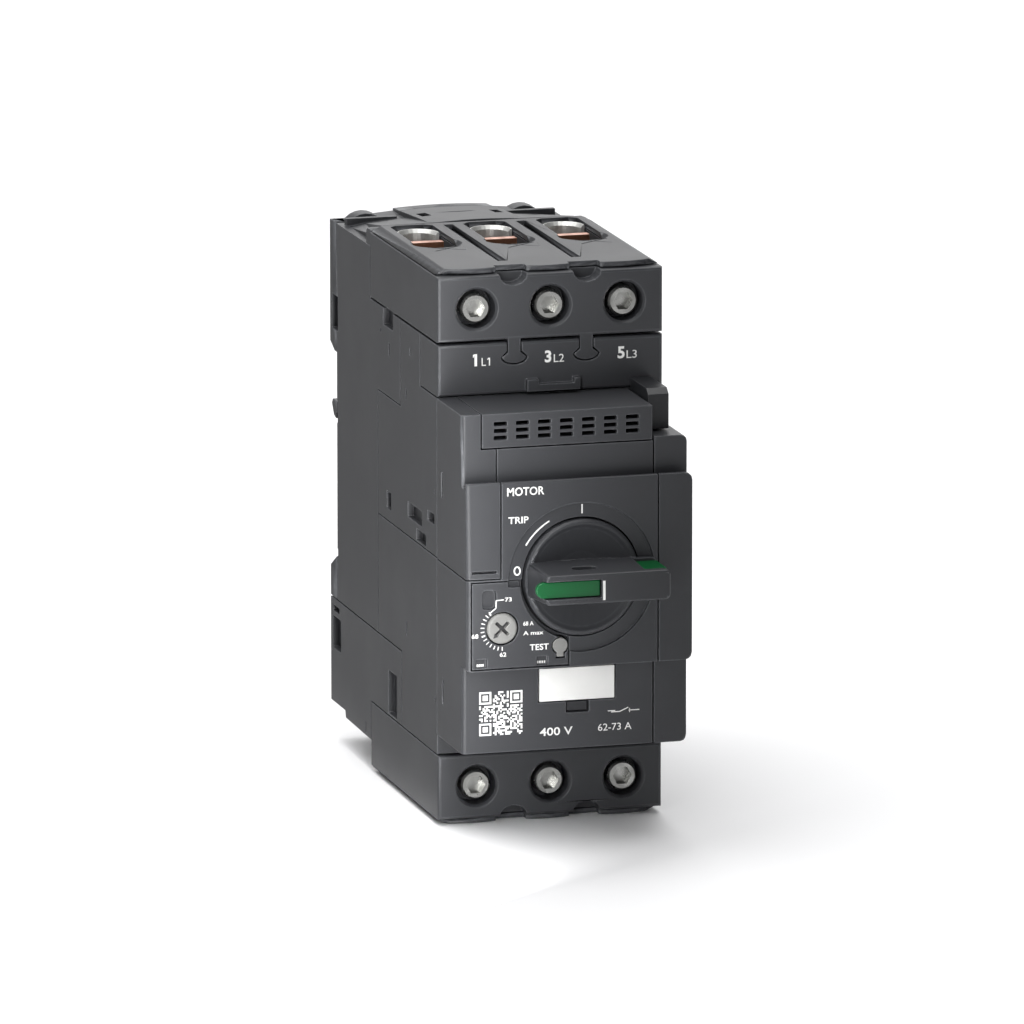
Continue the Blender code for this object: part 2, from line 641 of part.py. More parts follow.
# ---- front covers ----------------------------------------------------------------------
def cover_profile(top, bottom, raised_bottom=KNOB_BOTTOM_Z):
    """Side outline of a cover: band, raised knob section and, where it reaches, lower section."""
    outline = [(CASE_FRONT_Y - GAP, bottom), (CASE_FRONT_Y - GAP, top)]
    if top > KNOB_TOP_Z:
        outline += [(COVER_FRONT_Y, top), (COVER_FRONT_Y, KNOB_TOP_Z - GROOVE_DEEP)]
        outline += [(LIP_BACK_Y, KNOB_TOP_Z - GROOVE_DEEP), (LIP_BACK_Y, KNOB_TOP_Z)]
        outline += [(KNOB_FRONT_Y + 0.3, KNOB_TOP_Z), (KNOB_FRONT_Y, KNOB_TOP_Z - 0.3)]
    else:
        outline += [(KNOB_FRONT_Y, top)]
    if bottom < raised_bottom:
        outline += [(KNOB_FRONT_Y, raised_bottom), (COVER_FRONT_Y, raised_bottom)]
        outline += [(COVER_FRONT_Y, bottom)]
    else:
        outline += [(KNOB_FRONT_Y, bottom)]
    return outline


def front_edge_test(x):
    """Edges that run up a cover's outer front corner."""
    def on_corner(co):
        return near(co.x, x) and (near(co.y, KNOB_FRONT_Y) or near(co.y, COVER_FRONT_Y))
    return on_corner


def front_cover():
    """Middle and lower front shell with the handle's dish and the setting plate's recess."""
    middle = prism(cover_profile(BAND_TOP_Z - GAP, COVER_BOTTOM_Z), "X", -18.9, 19.05)
    cover = piece("front_cover", middle, "charcoal")
    left = prism(cover_profile(0.5, COVER_BOTTOM_Z), "X", -HALF, -17.0)
    join(cover, soften(left, 1.1, 3, front_edge_test(-HALF)))
    cut(cover, block((-24.9, 16.6), (-110.4, -80.0), (-39.0, -2.5)))
    cut(cover, block((-16.4, 16.4), (-110.0, -80.0), (-4.0, 28.0)))
    dish = [
        (0.0, -120.0), (DISH_R, -120.0), (DISH_R, DISH_FLOOR_Y), (DISC_R + 0.4, DISH_FLOOR_Y),
        (DISC_R + 0.4, -113.0), (0.0, -113.0),
    ]
    cut(cover, turned(dish, (KNOB_X, KNOB_Z), DISC_ROUND))
    cut(cover, rod((KNOB_X, KNOB_Z), 4.6, -120.0, -100.0))
    cut(cover, block((-26.4, -2.4), (-120.0, -115.3), (-21.0, 0.15)))
    cut(cover, rod((DIAL_X, DIAL_Z), 2.5, -120.0, -100.0, INNER_ROUND))
    cut(cover, block((TEST_X - 1.3, TEST_X + 1.3), (-120.0, -100.0), (TEST_Z - 1.3, TEST_Z + 1.3)))
    cut(cover, prism(test_outline(0.4), "Y", -119.0, -112.1))
    cut(cover, block((-8.9, 9.9), (-114.5, -112.4), (-30.5, -22.0)))
    cut(cover, block((-2.1, 3.5), (-114.5, -111.4), (-33.2, -29.0)))
    cut(cover, block((-HALF - 1.0, -HALF + 0.6), (-97.1, -95.8), (-33.3, -27.4)))
    return cover


def left_cover():
    """Removable left cover: beside the vent, the band and the handle."""
    low, high = 0.8, COVER_TOP_Z
    wide = soften(prism(cover_profile(high, low), "X", -HALF, -22.8), 1.1, 3, front_edge_test(-HALF))
    cover = piece("left_cover", wide, "charcoal")
    join(cover, prism(cover_profile(BAND_TOP_Z - GAP, low), "X", -24.5, -19.2))
    cut(cover, block((-25.3, -21.4), (-110.4, -80.0), (4.0, 28.0)))
    cut(cover, block((-26.2, -20.1), (-118.0, -116.0), (2.1, 2.7)))
    cut(cover, block((-HALF - 1.0, -HALF + 0.6), (-96.5, -95.2), (16.3, 22.3)))
    return cover


def right_cover():
    """Removable right cover with round outer corners in all three sections."""
    inner, outer = 19.35, HALF
    base_edge = rounded((inner - 4.0, COVER_BOTTOM_Z), (outer - 0.2, BAND_TOP_Z + 0.7), 1.5)
    raised_edge = rounded((inner - 4.0, KNOB_BOTTOM_Z), (outer, KNOB_TOP_Z), 1.8)
    cover = piece("right_cover", prism(base_edge, "Y", COVER_FRONT_Y, CASE_FRONT_Y - GAP), "charcoal")
    join(cover, prism(raised_edge, "Y", KNOB_FRONT_Y, COVER_FRONT_Y + 2.0))
    cut(cover, block((0.0, inner), (-120.0, -80.0), (-50.0, 40.0)))
    cut(cover, block((21.5, 25.4), (-111.0, -80.0), (-39.0, 28.5)))
    groove = (KNOB_TOP_Z - GROOVE_DEEP, KNOB_TOP_Z + 1.0)
    cut(cover, block((0.0, HALF + 1.0), (LIP_BACK_Y, COVER_FRONT_Y), groove))
    return cover


def vent_grille():
    """Vented front panel: seven columns of three slots into a hollow box."""
    shape = block((-22.5, 18.9), (COVER_FRONT_Y + 0.1, CASE_FRONT_Y - GAP), (BAND_TOP_Z, COVER_TOP_Z))
    grille = piece("vent_grille", shape, "charcoal")
    cut(grille, block((-20.9, 17.3), (-111.4, -80.0), (32.6, 37.9)))
    slots = []
    for column in range(7):
        for row in range(3):
            x = -18.0 + 5.34 * column
            z = 33.45 + 1.66 * row
            slots.append(block((x - 1.55, x + 1.55), (-115.0, -110.5), (z - 0.48, z + 0.48)))
    cut(grille, together(*slots))
    return grille


def side_block():
    """Stepped block beside the vent that a side-mounted accessory clips to."""
    outline = [
        (CASE_FRONT_Y - 1.4, 32.3), (CASE_FRONT_Y - 1.4, 41.9), (-106.0, 41.9), (-107.6, 40.6), (-107.6, 32.3),
    ]
    form = prism(outline, "X", 19.4, 24.5)
    shape = piece("side_block", form, "dark_grey")
    cut(shape, block((20.8, 26.0), (-104.5, -95.0), (34.0, 40.2)))
    return shape


def setting_plate():
    """Plate round the setting dial, its right side cut away along the handle's dish."""
    plate = piece("setting_plate", block((-26.1, -2.7), (KNOB_FRONT_Y, -115.6), (-20.7, -0.15)), "charcoal")
    cut(plate, rod((KNOB_X, KNOB_Z), DISC_R + 1.2, -119.0, -113.0, DISC_ROUND))
    cut(plate, rod((DIAL_X, DIAL_Z), DIAL_R + 0.3, -119.0, -113.0))
    cut(plate, prism(test_outline(0.3), "Y", -119.0, -113.0))
    cut(plate, block((TEST_X, 0.0), (-119.0, -113.0), (TEST_Z, -10.0)))
    pockets = together(
        prism(rounded((-23.6, -6.5), (-20.2, -1.9), 1.0, 2), "Y", -119.0, -116.0),
        block((-17.3, -14.3), (-119.0, -116.0), (-1.5, 1.0)),
        block((-25.2, -22.5), (-119.0, -116.4), (-20.4, -18.3)),
        block((-10.4, -7.7), (-119.0, -116.4), (-20.4, -18.3)),
    )
    cut(plate, pockets)
    return plate


# ---- operating parts -------------------------------------------------------------------
def rotary_handle():
    """Handle: a shallow dished disc with a raised grip across it, longer on the padlock side."""
    axis = (KNOB_X, KNOB_Z)
    disc = [
        (0.0, -115.6), (6.0, -115.7), (DISC_R - 2.3, -117.2), (DISC_R - 1.2, -117.9), (DISC_R - 0.6, -117.9),
        (DISC_R, -117.3), (DISC_R, -113.4), (0.0, -113.4),
    ]
    form = turned(disc, axis, DISC_ROUND)
    handle = piece("rotary_handle", form, "charcoal", (KNOB_X, KNOB_FRONT_Y, KNOB_Z))
    left, right = KNOB_X - 12.4, KNOB_X + 17.8
    levels = (
        (rounded((left - 1.0, -4.2), (right, 4.2), 1.3), -117.7),
        (rounded((left, -3.55), (right, 3.55), 1.1), HANDLE_FRONT_Y + 0.4),
        (rounded((left + 0.3, -3.25), (right - 0.3, 3.25), 0.9), HANDLE_FRONT_Y),
    )
    join(handle, lofted([[(a, y, b) for a, b in outline] for outline, y in levels]))
    join(handle, block((left - 0.6, KNOB_X + 12.4), (-118.3, -115.0), (-3.9, 3.9)))
    cut(handle, prism(pointer_outline(0.25), "Y", -140.0, -128.2))
    cut(handle, block((KNOB_X + 11.9, KNOB_X + 25.0), (-128.6, -118.9), (-6.0, 6.0)))
    cut(handle, block((KNOB_X + 5.0, KNOB_X + 13.0), (-126.4, -120.9), (-2.6, 2.6)))
    cut(handle, prism(slot_outline((KNOB_X - 1.6, -124.6), 1.5, 1.5), "Z", -6.0, 6.0))
    return handle


def slot_outline(centre, half_length, radius):
    """Outline of a short slot with round ends."""
    x, y = centre
    right = arc((x + half_length, y), radius, -90.0, 90.0, 6)
    left = arc((x - half_length, y), radius, 90.0, 270.0, 6)
    return right + left


def pointer_outline(margin):
    """Outline of the green pointer: a bar with a round nose that sticks out of the grip."""
    half = 1.85 + margin
    nose = arc((KNOB_X - 12.8, 0.0), half, 90.0, 270.0, 8)
    return [(KNOB_X + 0.8 + margin, half), *nose, (KNOB_X + 0.8 + margin, -half)]


def handle_pointer(handle):
    """Green pointer set into the grip's face."""
    form = prism(pointer_outline(0.0), "Y", -129.7, -128.4)
    return piece("handle_pointer", form, "green", (KNOB_X, KNOB_FRONT_Y, KNOB_Z), handle)


def padlock_slide(handle):
    """Green tab that pulls out of the grip's end and bares a hole for a padlock."""
    form = block((KNOB_X + 12.2, KNOB_X + 17.5), (-128.3, -119.2), (-3.5, 3.5))
    slide = piece("padlock_slide", form, "green", (KNOB_X, KNOB_FRONT_Y, KNOB_Z), handle)
    join(slide, block((KNOB_X + 5.4, KNOB_X + 13.0), (-126.1, -121.2), (-2.3, 2.3)))
    cut(slide, rod((KNOB_X + 8.9, -123.65), 1.9, -5.0, 5.0, INNER_ROUND, "Z"))
    return slide


def knob_shaft(handle):
    """Square drive shaft behind the handle, with the round bearing collar and the drive cam."""
    collar = [(0.0, -113.1), (4.2, -113.1), (4.2, -108.4), (3.0, -108.0), (3.0, -86.6), (0.0, -86.6)]
    shaft = piece("knob_shaft", turned(collar, (KNOB_X, KNOB_Z), ROUND), "zinc_steel",
                  (KNOB_X, KNOB_FRONT_Y, KNOB_Z), handle)
    cam = arc((KNOB_X, KNOB_Z), 5.2, 20.0, 340.0, 14) + [(KNOB_X + 9.0, -1.6), (KNOB_X + 9.0, 1.6)]
    join(shaft, prism(cam, "Y", -100.0, -96.0))
    return shaft


def setting_dial():
    """Current setting dial with its cross slot."""
    stem = [
        (0.0, -117.5), (DIAL_R - 0.5, -117.5), (DIAL_R, -117.1), (DIAL_R, -115.4),
        (2.2, -115.4), (2.2, -105.0), (0.0, -105.0),
    ]
    dial = piece("setting_dial", turned(stem, (DIAL_X, DIAL_Z), ROUND), "light_grey",
                 (DIAL_X, -117.5, DIAL_Z))
    for turn in (45.0, 135.0):
        arm = block((-2.1, 2.1), (-120.0, -116.5), (-0.42, 0.42))
        bmesh.ops.rotate(arm, verts=arm.verts, matrix=Matrix.Rotation(math.radians(turn), 3, "Y"))
        bmesh.ops.translate(arm, verts=arm.verts, vec=(DIAL_X, 0.0, DIAL_Z))
        cut(dial, arm)
    return dial


def test_outline(margin):
    """Keyhole outline of the test button: a round head over a narrow stem."""
    stem_half = 0.85 + margin
    head = arc((TEST_X, TEST_Z), 1.85 + margin, -62.0 + margin, 242.0 - margin, 14)
    return head + [(TEST_X - stem_half, TEST_Z - 2.7 - margin), (TEST_X + stem_half, TEST_Z - 2.7 - margin)]


def test_button():
    """Test button, pressed in with a screwdriver to trip the breaker."""
    button = piece("test_button", prism(test_outline(0.0), "Y", -117.0, -114.3), "light_grey",
                   (TEST_X, -117.0, TEST_Z))
    join(button, block((TEST_X - 0.9, TEST_X + 0.9), (-115.0, -104.0), (TEST_Z - 0.9, TEST_Z + 0.9)))
    return button


def marker_label():
    """White write-on label below the handle."""
    return piece("marker_label", block((-8.6, 9.6), (-113.5, -112.7), (-30.2, -22.3)), "label_white")


def label_tab():
    """Dark grip of the label holder."""
    return piece("label_tab", block((-1.8, 3.2), (-112.4, -111.7), (-32.9, -30.8)), "dark_grey")


# ---- inside ----------------------------------------------------------------------------
def arc_chute(name, x):
    """Arc chute: a comb of notched steel splitter plates on a common backbone."""
    comb = piece(name, block((x - 5.8, x + 5.8), (-45.8, -44.4), (14.8, 31.0)), "iron")
    plates = []
    for index in range(6):
        z = 15.4 + 2.8 * index
        notch = [(x - 5.8, -45.0), (x - 5.8, -25.4), (x - 2.4, -25.4), (x, -32.0),
                 (x + 2.4, -25.4), (x + 5.8, -25.4), (x + 5.8, -45.0)]
        plates.append(prism(notch, "Z", z, z + 1.0))
    join(comb, together(*plates))
    return comb


def contact_carrier():
    """Moulded carrier that moves the three contact bridges together."""
    carrier = piece("contact_carrier", block((-24.0, 24.0), (-43.0, -38.4), (-3.6, 3.6)), "dark_grey")
    posts = [block((x - 3.4, x + 3.4), (-39.0, -30.6), (-2.6, 2.6)) for x in POLES]
    join(carrier, together(*posts))
    join(carrier, block((KNOB_X - 1.6, KNOB_X + 1.6), (-86.2, -42.0), (-1.6, 1.6)))
    return carrier


def contact_bridge(name, x, carrier):
    """Moving contact bridge with a silvered tip at each end."""
    bridge = piece(name, block((x - 3.0, x + 3.0), (-30.3, -28.8), (-14.2, 14.2)), "copper",
                   (x, -30.3, 0.0), carrier)
    tips = [block((x - 2.4, x + 2.4), (-29.2, -27.6), span_of(centre, 2.0)) for centre in (-11.5, 11.5)]
    join(bridge, together(*tips))
    return bridge


def trip_coil(name, x):
    """Magnetic release: a winding of thick copper wire from the lower fixed contact."""
    turns, radius, start, pitch = 4, 4.4, -44.5, 3.6
    points = [(x, -22.6, -8.0), (x, -22.6, -15.0), (x, -27.0, -17.5), (x, -38.0, -17.5)]
    steps = 12
    for index in range(turns * steps + 1):
        angle = 2.0 * math.pi * index / steps - math.pi / 2
        along = start - pitch * index / steps
        points.append((x + radius * math.cos(angle), along, -13.1 + radius * math.sin(angle)))
    points.append((x, start - pitch * turns - 4.0, -17.5))
    curve = bpy.data.curves.new(name, "CURVE")
    curve.dimensions = "3D"
    spline = curve.splines.new("POLY")
    spline.points.add(len(points) - 1)
    for spot, place in zip(spline.points, points):
        spot.co = (*(Vector(place) * MM), 1.0)
    curve.bevel_depth = 1.2 * MM
    curve.bevel_resolution = 1
    curve.use_fill_caps = True
    curve.materials.append(bpy.data.materials["copper"])
    coil = bpy.data.objects.new(name, curve)
    bpy.context.scene.collection.objects.link(coil)
    return coil


def bimetal(name, x):
    """Bimetal strip of the thermal release, standing on its foot."""
    path = [(-64.0, -40.0), (-71.0, -40.0), (-71.0, -8.0)]
    return piece(name, prism(strip(path, 1.2), "X", x - 2.6, x + 2.6), "iron")


def trip_bar():
    """Trip bar across the three poles, turned by a bimetal, a coil or the test button."""
    bar = piece("trip_bar", rod((-81.5, -4.0), 1.8, -24.2, 24.2, INNER_ROUND, "X"), "dark_grey",
                (0.0, -81.5, -4.0))
    fingers = [block((x - 1.6, x + 1.6), (-82.4, -80.6), (-9.6, -4.0)) for x in POLES]
    join(bar, together(*fingers))
    return bar


def switch_frame():
    """Steel frame of the switching mechanism behind the handle."""
    frame = piece("switch_frame", block((-14.0, 14.0), (-94.4, -92.0), (-17.0, 22.0)), "zinc_steel")
    sides = [block((x - 0.9, x + 0.9), (-106.0, -93.0), (-15.0, 20.0)) for x in (-13.0, 13.0)]
    join(frame, together(*sides))
    cut(frame, rod((KNOB_X, KNOB_Z), 3.6, -96.0, -90.0))
    return frame


# ---- rail latch ------------------------------------------------------------------------
def rail_latch():
    """Sprung slide that grips the lower edge of the rail, with its pull eye below."""
    nose = [
        (1.5, -16.4), (2.6, -16.0), (5.9, -20.2), (5.9, -58.4), (1.6, -58.4), (1.6, -18.0), (1.5, -17.9),
    ]
    latch = piece("rail_latch", prism(nose, "X", -9.0, 9.0), "dark_grey", (0.0, 3.7, -16.0))
    join(latch, block((-3.0, 3.0), (-3.8, 2.2), (-37.0, -34.2)))
    cut(latch, prism(rounded((-3.2, -57.6), (3.2, -54.9), 1.2), "Y", -1.0, 8.0))
    return latch


def latch_spring():
    """Compression spring that pushes the rail latch up."""
    turns, steps, radius = 5, 12, 2.0
    low, high = -46.3, -38.1
    curve = bpy.data.curves.new("latch_spring", "CURVE")
    curve.dimensions = "3D"
    spline = curve.splines.new("POLY")
    spline.points.add(turns * steps)
    for index, spot in enumerate(spline.points):
        angle = 2.0 * math.pi * index / steps
        height = low + (high - low) * index / (turns * steps)
        place = Vector((radius * math.cos(angle), -1.3 + radius * math.sin(angle), height))
        spot.co = (*(place * MM), 1.0)
    curve.bevel_depth = 0.4 * MM
    curve.bevel_resolution = 0
    curve.use_fill_caps = True
    curve.materials.append(bpy.data.materials["zinc_steel"])
    spring = bpy.data.objects.new("latch_spring", curve)
    bpy.context.scene.collection.objects.link(spring)
    return spring


# ---- assembly --------------------------------------------------------------------------
def build():
    """Model every piece of the breaker."""
    empty_scene()
    for name in COLOURS:
        make_material(name)
    rear_base()
    rail_foot()
    lower_foot()
    rear_lower_case()
    upper_case()
    lower_case()
    terminal_cover()
    front_cover()
    left_cover()
    right_cover()
    vent_grille()
    side_block()
    setting_plate()
    for name, side in (("upper", 1), ("lower", -1)):
        terminal_block(name + "_terminal_block", side)
        terminal_lid(name + "_terminal_lid", side)
        for pole, x in enumerate(POLES, start=1):
            terminal_screw(f"{name}_terminal_screw_{pole}", x, side)
            clamp_cage(f"{name}_clamp_cage_{pole}", x, side)
    handle = rotary_handle()
    handle_pointer(handle)
    padlock_slide(handle)
    knob_shaft(handle)
    setting_dial()
    test_button()
    marker_label()
    label_tab()
    carrier = contact_carrier()
    for pole, x in enumerate(POLES, start=1):
        line_bar(f"line_bar_{pole}", x)
        load_bar(f"load_bar_{pole}", x)
        arc_chute(f"arc_chute_{pole}", x)
        contact_bridge(f"contact_bridge_{pole}", x, carrier)
        trip_coil(f"trip_coil_{pole}", x)
        bimetal(f"bimetal_{pole}", x)
    trip_bar()
    switch_frame()
    rail_latch()
    latch_spring()


build()
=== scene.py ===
# %% [markdown]
# # A motor protection breaker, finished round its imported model
# The real object is a rail-mounted switch. Its dark glass-filled plastic housing closes round
# three current paths, and a rotary handle, a setting dial and a test button stand on its front.
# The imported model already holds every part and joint, so this lesson only gives those parts
# their look: rounded moulding edges, grained plastic, plated steel, copper and white print.
# The model is loaded first, because each later piece takes its place from it.

# %% Load the frame
import json
import math
import random

import bmesh
import bpy
from mathutils import Matrix, Vector

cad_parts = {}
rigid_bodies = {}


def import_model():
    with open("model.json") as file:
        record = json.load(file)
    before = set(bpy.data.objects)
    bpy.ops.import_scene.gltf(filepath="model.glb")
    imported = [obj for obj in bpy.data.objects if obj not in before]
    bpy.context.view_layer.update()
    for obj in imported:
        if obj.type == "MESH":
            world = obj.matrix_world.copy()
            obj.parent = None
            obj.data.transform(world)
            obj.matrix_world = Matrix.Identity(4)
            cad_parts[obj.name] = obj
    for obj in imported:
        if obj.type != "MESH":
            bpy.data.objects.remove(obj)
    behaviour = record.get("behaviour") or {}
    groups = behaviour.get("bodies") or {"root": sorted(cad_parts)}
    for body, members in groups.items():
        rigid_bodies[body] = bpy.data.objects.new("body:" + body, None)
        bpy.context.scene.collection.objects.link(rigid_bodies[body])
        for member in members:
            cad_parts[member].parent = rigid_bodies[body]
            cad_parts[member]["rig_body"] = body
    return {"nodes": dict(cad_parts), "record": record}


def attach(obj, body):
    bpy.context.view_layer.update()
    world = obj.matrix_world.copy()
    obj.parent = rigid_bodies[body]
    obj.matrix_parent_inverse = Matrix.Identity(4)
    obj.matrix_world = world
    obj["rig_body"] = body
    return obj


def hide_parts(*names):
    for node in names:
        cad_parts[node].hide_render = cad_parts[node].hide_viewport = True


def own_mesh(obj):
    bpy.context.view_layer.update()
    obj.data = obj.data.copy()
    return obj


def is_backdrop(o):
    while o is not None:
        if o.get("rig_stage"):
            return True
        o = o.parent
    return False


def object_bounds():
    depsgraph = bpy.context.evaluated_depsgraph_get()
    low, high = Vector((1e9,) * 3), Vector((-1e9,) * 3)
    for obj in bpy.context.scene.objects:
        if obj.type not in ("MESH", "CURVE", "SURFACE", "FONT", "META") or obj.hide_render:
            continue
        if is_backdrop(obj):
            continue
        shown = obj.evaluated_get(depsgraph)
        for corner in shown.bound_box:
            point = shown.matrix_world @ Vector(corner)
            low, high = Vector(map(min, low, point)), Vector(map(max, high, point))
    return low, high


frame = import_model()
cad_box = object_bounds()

MM = 0.001
nodes = frame["nodes"]
body_of = {name: node["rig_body"] for name, node in nodes.items()}

# %% [markdown]
# ## Colours
# Blender mixes light in linear numbers, but people name colours on the screen's curve from
# 0 to 255. A small converter lets each colour be written the way it would be read off a
# colour card.

# %% Colour helper
def colour(red, green, blue):
    """A screen colour, 0 to 255 a channel, as linear red, green, blue and alpha."""
    channels = []
    for value in (red, green, blue):
        value = value / 255
        channels.append(value / 12.92 if value <= 0.04045 else ((value + 0.055) / 1.055) ** 2.4)
    return (*channels, 1.0)


print("charcoal in linear light:", [round(c, 4) for c in colour(66, 67, 70)[:3]])

# %% [markdown]
# ## Shared effects
# Several finishes need the same three effects, so each is built once as a node group.
# *Moulded grain* is the fine spark-eroded texture that the mould leaves on the plastic.
# *Edge wear* finds the corners by asking how far a slightly rounded normal leans away from
# the true one, and breaks the result up so that it doesn't run on evenly. On the plastics its
# lighter corners are wear and also a painted highlight. *Streaks* is the drawn grain of rolled
# sheet and turned metal.
# Sculpting these would cost millions of faces, and a picture wouldn't stay sharp close up.

# %% Node group helper
def effect_group(name, inputs, outputs):
    """An empty node group with named number inputs and outputs, and its two end nodes."""
    group = bpy.data.node_groups.new(name, "ShaderNodeTree")
    for label, default in inputs.items():
        socket = group.interface.new_socket(label, in_out="INPUT", socket_type="NodeSocketFloat")
        socket.default_value = default
    for label in outputs:
        group.interface.new_socket(label, in_out="OUTPUT", socket_type="NodeSocketFloat")
    start = group.nodes.new("NodeGroupInput")
    end = group.nodes.new("NodeGroupOutput")
    return group, start, end


def add_node(tree, kind, **settings):
    """A node in a tree, with its own settings and, by input name or number, its values."""
    node = tree.nodes.new(kind)
    for key, value in settings.pop("values", {}).items():
        node.inputs[key].default_value = value
    for key, value in settings.items():
        setattr(node, key, value)
    return node


def noise(tree, place, scale, detail=2.0, roughness=0.5):
    """A noise texture on a place, its scale a number or another node's output."""
    node = add_node(tree, "ShaderNodeTexNoise", values={"Detail": detail, "Roughness": roughness})
    tree.links.new(place, node.inputs["Vector"])
    if isinstance(scale, bpy.types.NodeSocket):
        tree.links.new(scale, node.inputs["Scale"])
    else:
        node.inputs["Scale"].default_value = scale
    return node.outputs["Fac"]


def spread(tree, value, low, high, to_low=0.0, to_high=1.0):
    """A value moved from one range to another, held at both ends."""
    node = add_node(tree, "ShaderNodeMapRange", values={1: low, 2: high, 3: to_low, 4: to_high})
    tree.links.new(value, node.inputs["Value"])
    return node.outputs["Result"]


def sum_of(tree, operation, first, second):
    """Two values or numbers put together by one operation of the Math node."""
    node = add_node(tree, "ShaderNodeMath", operation=operation)
    for socket, value in zip(node.inputs, (first, second)):
        if isinstance(value, bpy.types.NodeSocket):
            tree.links.new(value, socket)
        else:
            socket.default_value = value
    return node.outputs["Value"]


print("group helpers are ready")

# %% Moulded grain
def build_moulded_grain():
    """Fine pits for a Bump's height, and two slow mottles for colour and gloss."""
    group, start, end = effect_group(
        "moulded_grain", {"Grains per metre": 2600.0}, ("Height", "Mottle", "Handling"))
    place = add_node(group, "ShaderNodeTexCoord").outputs["Object"]
    fine = noise(group, place, start.outputs["Grains per metre"], 3.0, 0.6)
    pits = add_node(group, "ShaderNodeTexVoronoi")
    group.links.new(place, pits.inputs["Vector"])
    group.links.new(start.outputs["Grains per metre"], pits.inputs["Scale"])
    height = sum_of(group, "ADD", fine, sum_of(group, "MULTIPLY", pits.outputs["Distance"], 0.5))
    group.links.new(height, end.inputs["Height"])
    group.links.new(spread(group, noise(group, place, 210.0, 4.0), 0.3, 0.7), end.inputs["Mottle"])
    group.links.new(spread(group, noise(group, place, 55.0, 3.0), 0.42, 0.68), end.inputs["Handling"])
    return group


moulded_grain = build_moulded_grain()
print("moulded grain gives", [s.name for s in moulded_grain.interface.items_tree if s.in_out == "OUTPUT"])

# %% Edge wear and painted highlight
def build_wear_and_highlight_mask():
    """A mask that is 1 on outer corners, broken up along their length."""
    group, start, end = effect_group("edge_wear", {"Radius": 0.0005, "Patchiness": 0.5}, ("Mask",))
    geometry = add_node(group, "ShaderNodeNewGeometry")
    rounded_off = add_node(group, "ShaderNodeBevel", samples=4)
    group.links.new(start.outputs["Radius"], rounded_off.inputs["Radius"])
    lean = add_node(group, "ShaderNodeVectorMath", operation="DOT_PRODUCT")
    group.links.new(rounded_off.outputs["Normal"], lean.inputs[0])
    group.links.new(geometry.outputs["True Normal"], lean.inputs[1])
    corner = spread(group, lean.outputs["Value"], 0.995, 0.86)
    place = add_node(group, "ShaderNodeTexCoord").outputs["Object"]
    broken = spread(group, noise(group, place, 420.0, 5.0, 0.65), 0.35, 0.62)
    even = sum_of(group, "SUBTRACT", 1.0, start.outputs["Patchiness"])
    kept = sum_of(group, "ADD", even, sum_of(group, "MULTIPLY", broken, start.outputs["Patchiness"]))
    group.links.new(sum_of(group, "MULTIPLY", corner, kept), end.inputs["Mask"])
    return group


edge_wear = build_wear_and_highlight_mask()
print("edge wear takes", [s.name for s in edge_wear.interface.items_tree if s.in_out == "INPUT"])

# %% Streaks
def build_streaks():
    """Long thin streaks of rolled or drawn metal, and a slow cloud of dulling."""
    group, start, end = effect_group("streaks", {"Streaks per metre": 5000.0}, ("Height", "Dulling"))
    place = add_node(group, "ShaderNodeTexCoord").outputs["Object"]
    squeeze = add_node(group, "ShaderNodeMapping")
    squeeze.inputs["Scale"].default_value = (1.0, 0.06, 1.0)
    group.links.new(place, squeeze.inputs["Vector"])
    lines = noise(group, squeeze.outputs["Vector"], start.outputs["Streaks per metre"], 2.0)
    group.links.new(lines, end.inputs["Height"])
    group.links.new(spread(group, noise(group, place, 320.0, 4.0), 0.35, 0.7), end.inputs["Dulling"])
    return group


streaks = build_streaks()
print("streaks give", [s.name for s in streaks.interface.items_tree if s.in_out == "OUTPUT"])

# %% [markdown]
# ## Finishes
# A finish is a material with the Principled shader and one or more of the groups above.
# The plastic parts share one recipe: a base colour that a slow mottle darkens, corners made
# a little lighter and smoother, which is wear and also a painted highlight, and the grain as a
# bump. Metals share a second one. Values that are the same all over, such as metal or no metal,
# sit on the shader itself.

# %% Material helpers
def new_finish(name):
    """An empty material with its tree and its Principled shader."""
    material = bpy.data.materials.new(name)
    material.use_nodes = True
    tree = material.node_tree
    return material, tree, tree.nodes["Principled BSDF"]


def place_group(tree, group, **values):
    """A node group placed in a material with its own values."""
    node = add_node(tree, "ShaderNodeGroup")
    node.node_tree = group
    for label, value in values.items():
        node.inputs[label.replace("_", " ")].default_value = value
    return node


def blend_colours(tree, amount, first, second):
    """A colour between two others, by an amount from 0 to 1."""
    node = add_node(tree, "ShaderNodeMix", data_type="RGBA")
    tree.links.new(amount, node.inputs["Factor"])
    for label, value in (("A", first), ("B", second)):
        socket = [s for s in node.inputs if s.name == label and s.type == "RGBA"][0]
        if isinstance(value, bpy.types.NodeSocket):
            tree.links.new(value, socket)
        else:
            socket.default_value = value
    return [s for s in node.outputs if s.type == "RGBA"][0]


def bump(tree, shader, height, strength, distance):
    """A bump from a height to the shader's normal."""
    node = add_node(tree, "ShaderNodeBump", values={"Strength": strength, "Distance": distance})
    tree.links.new(height, node.inputs["Height"])
    tree.links.new(node.outputs["Normal"], shader.inputs["Normal"])


print("material helpers are ready")

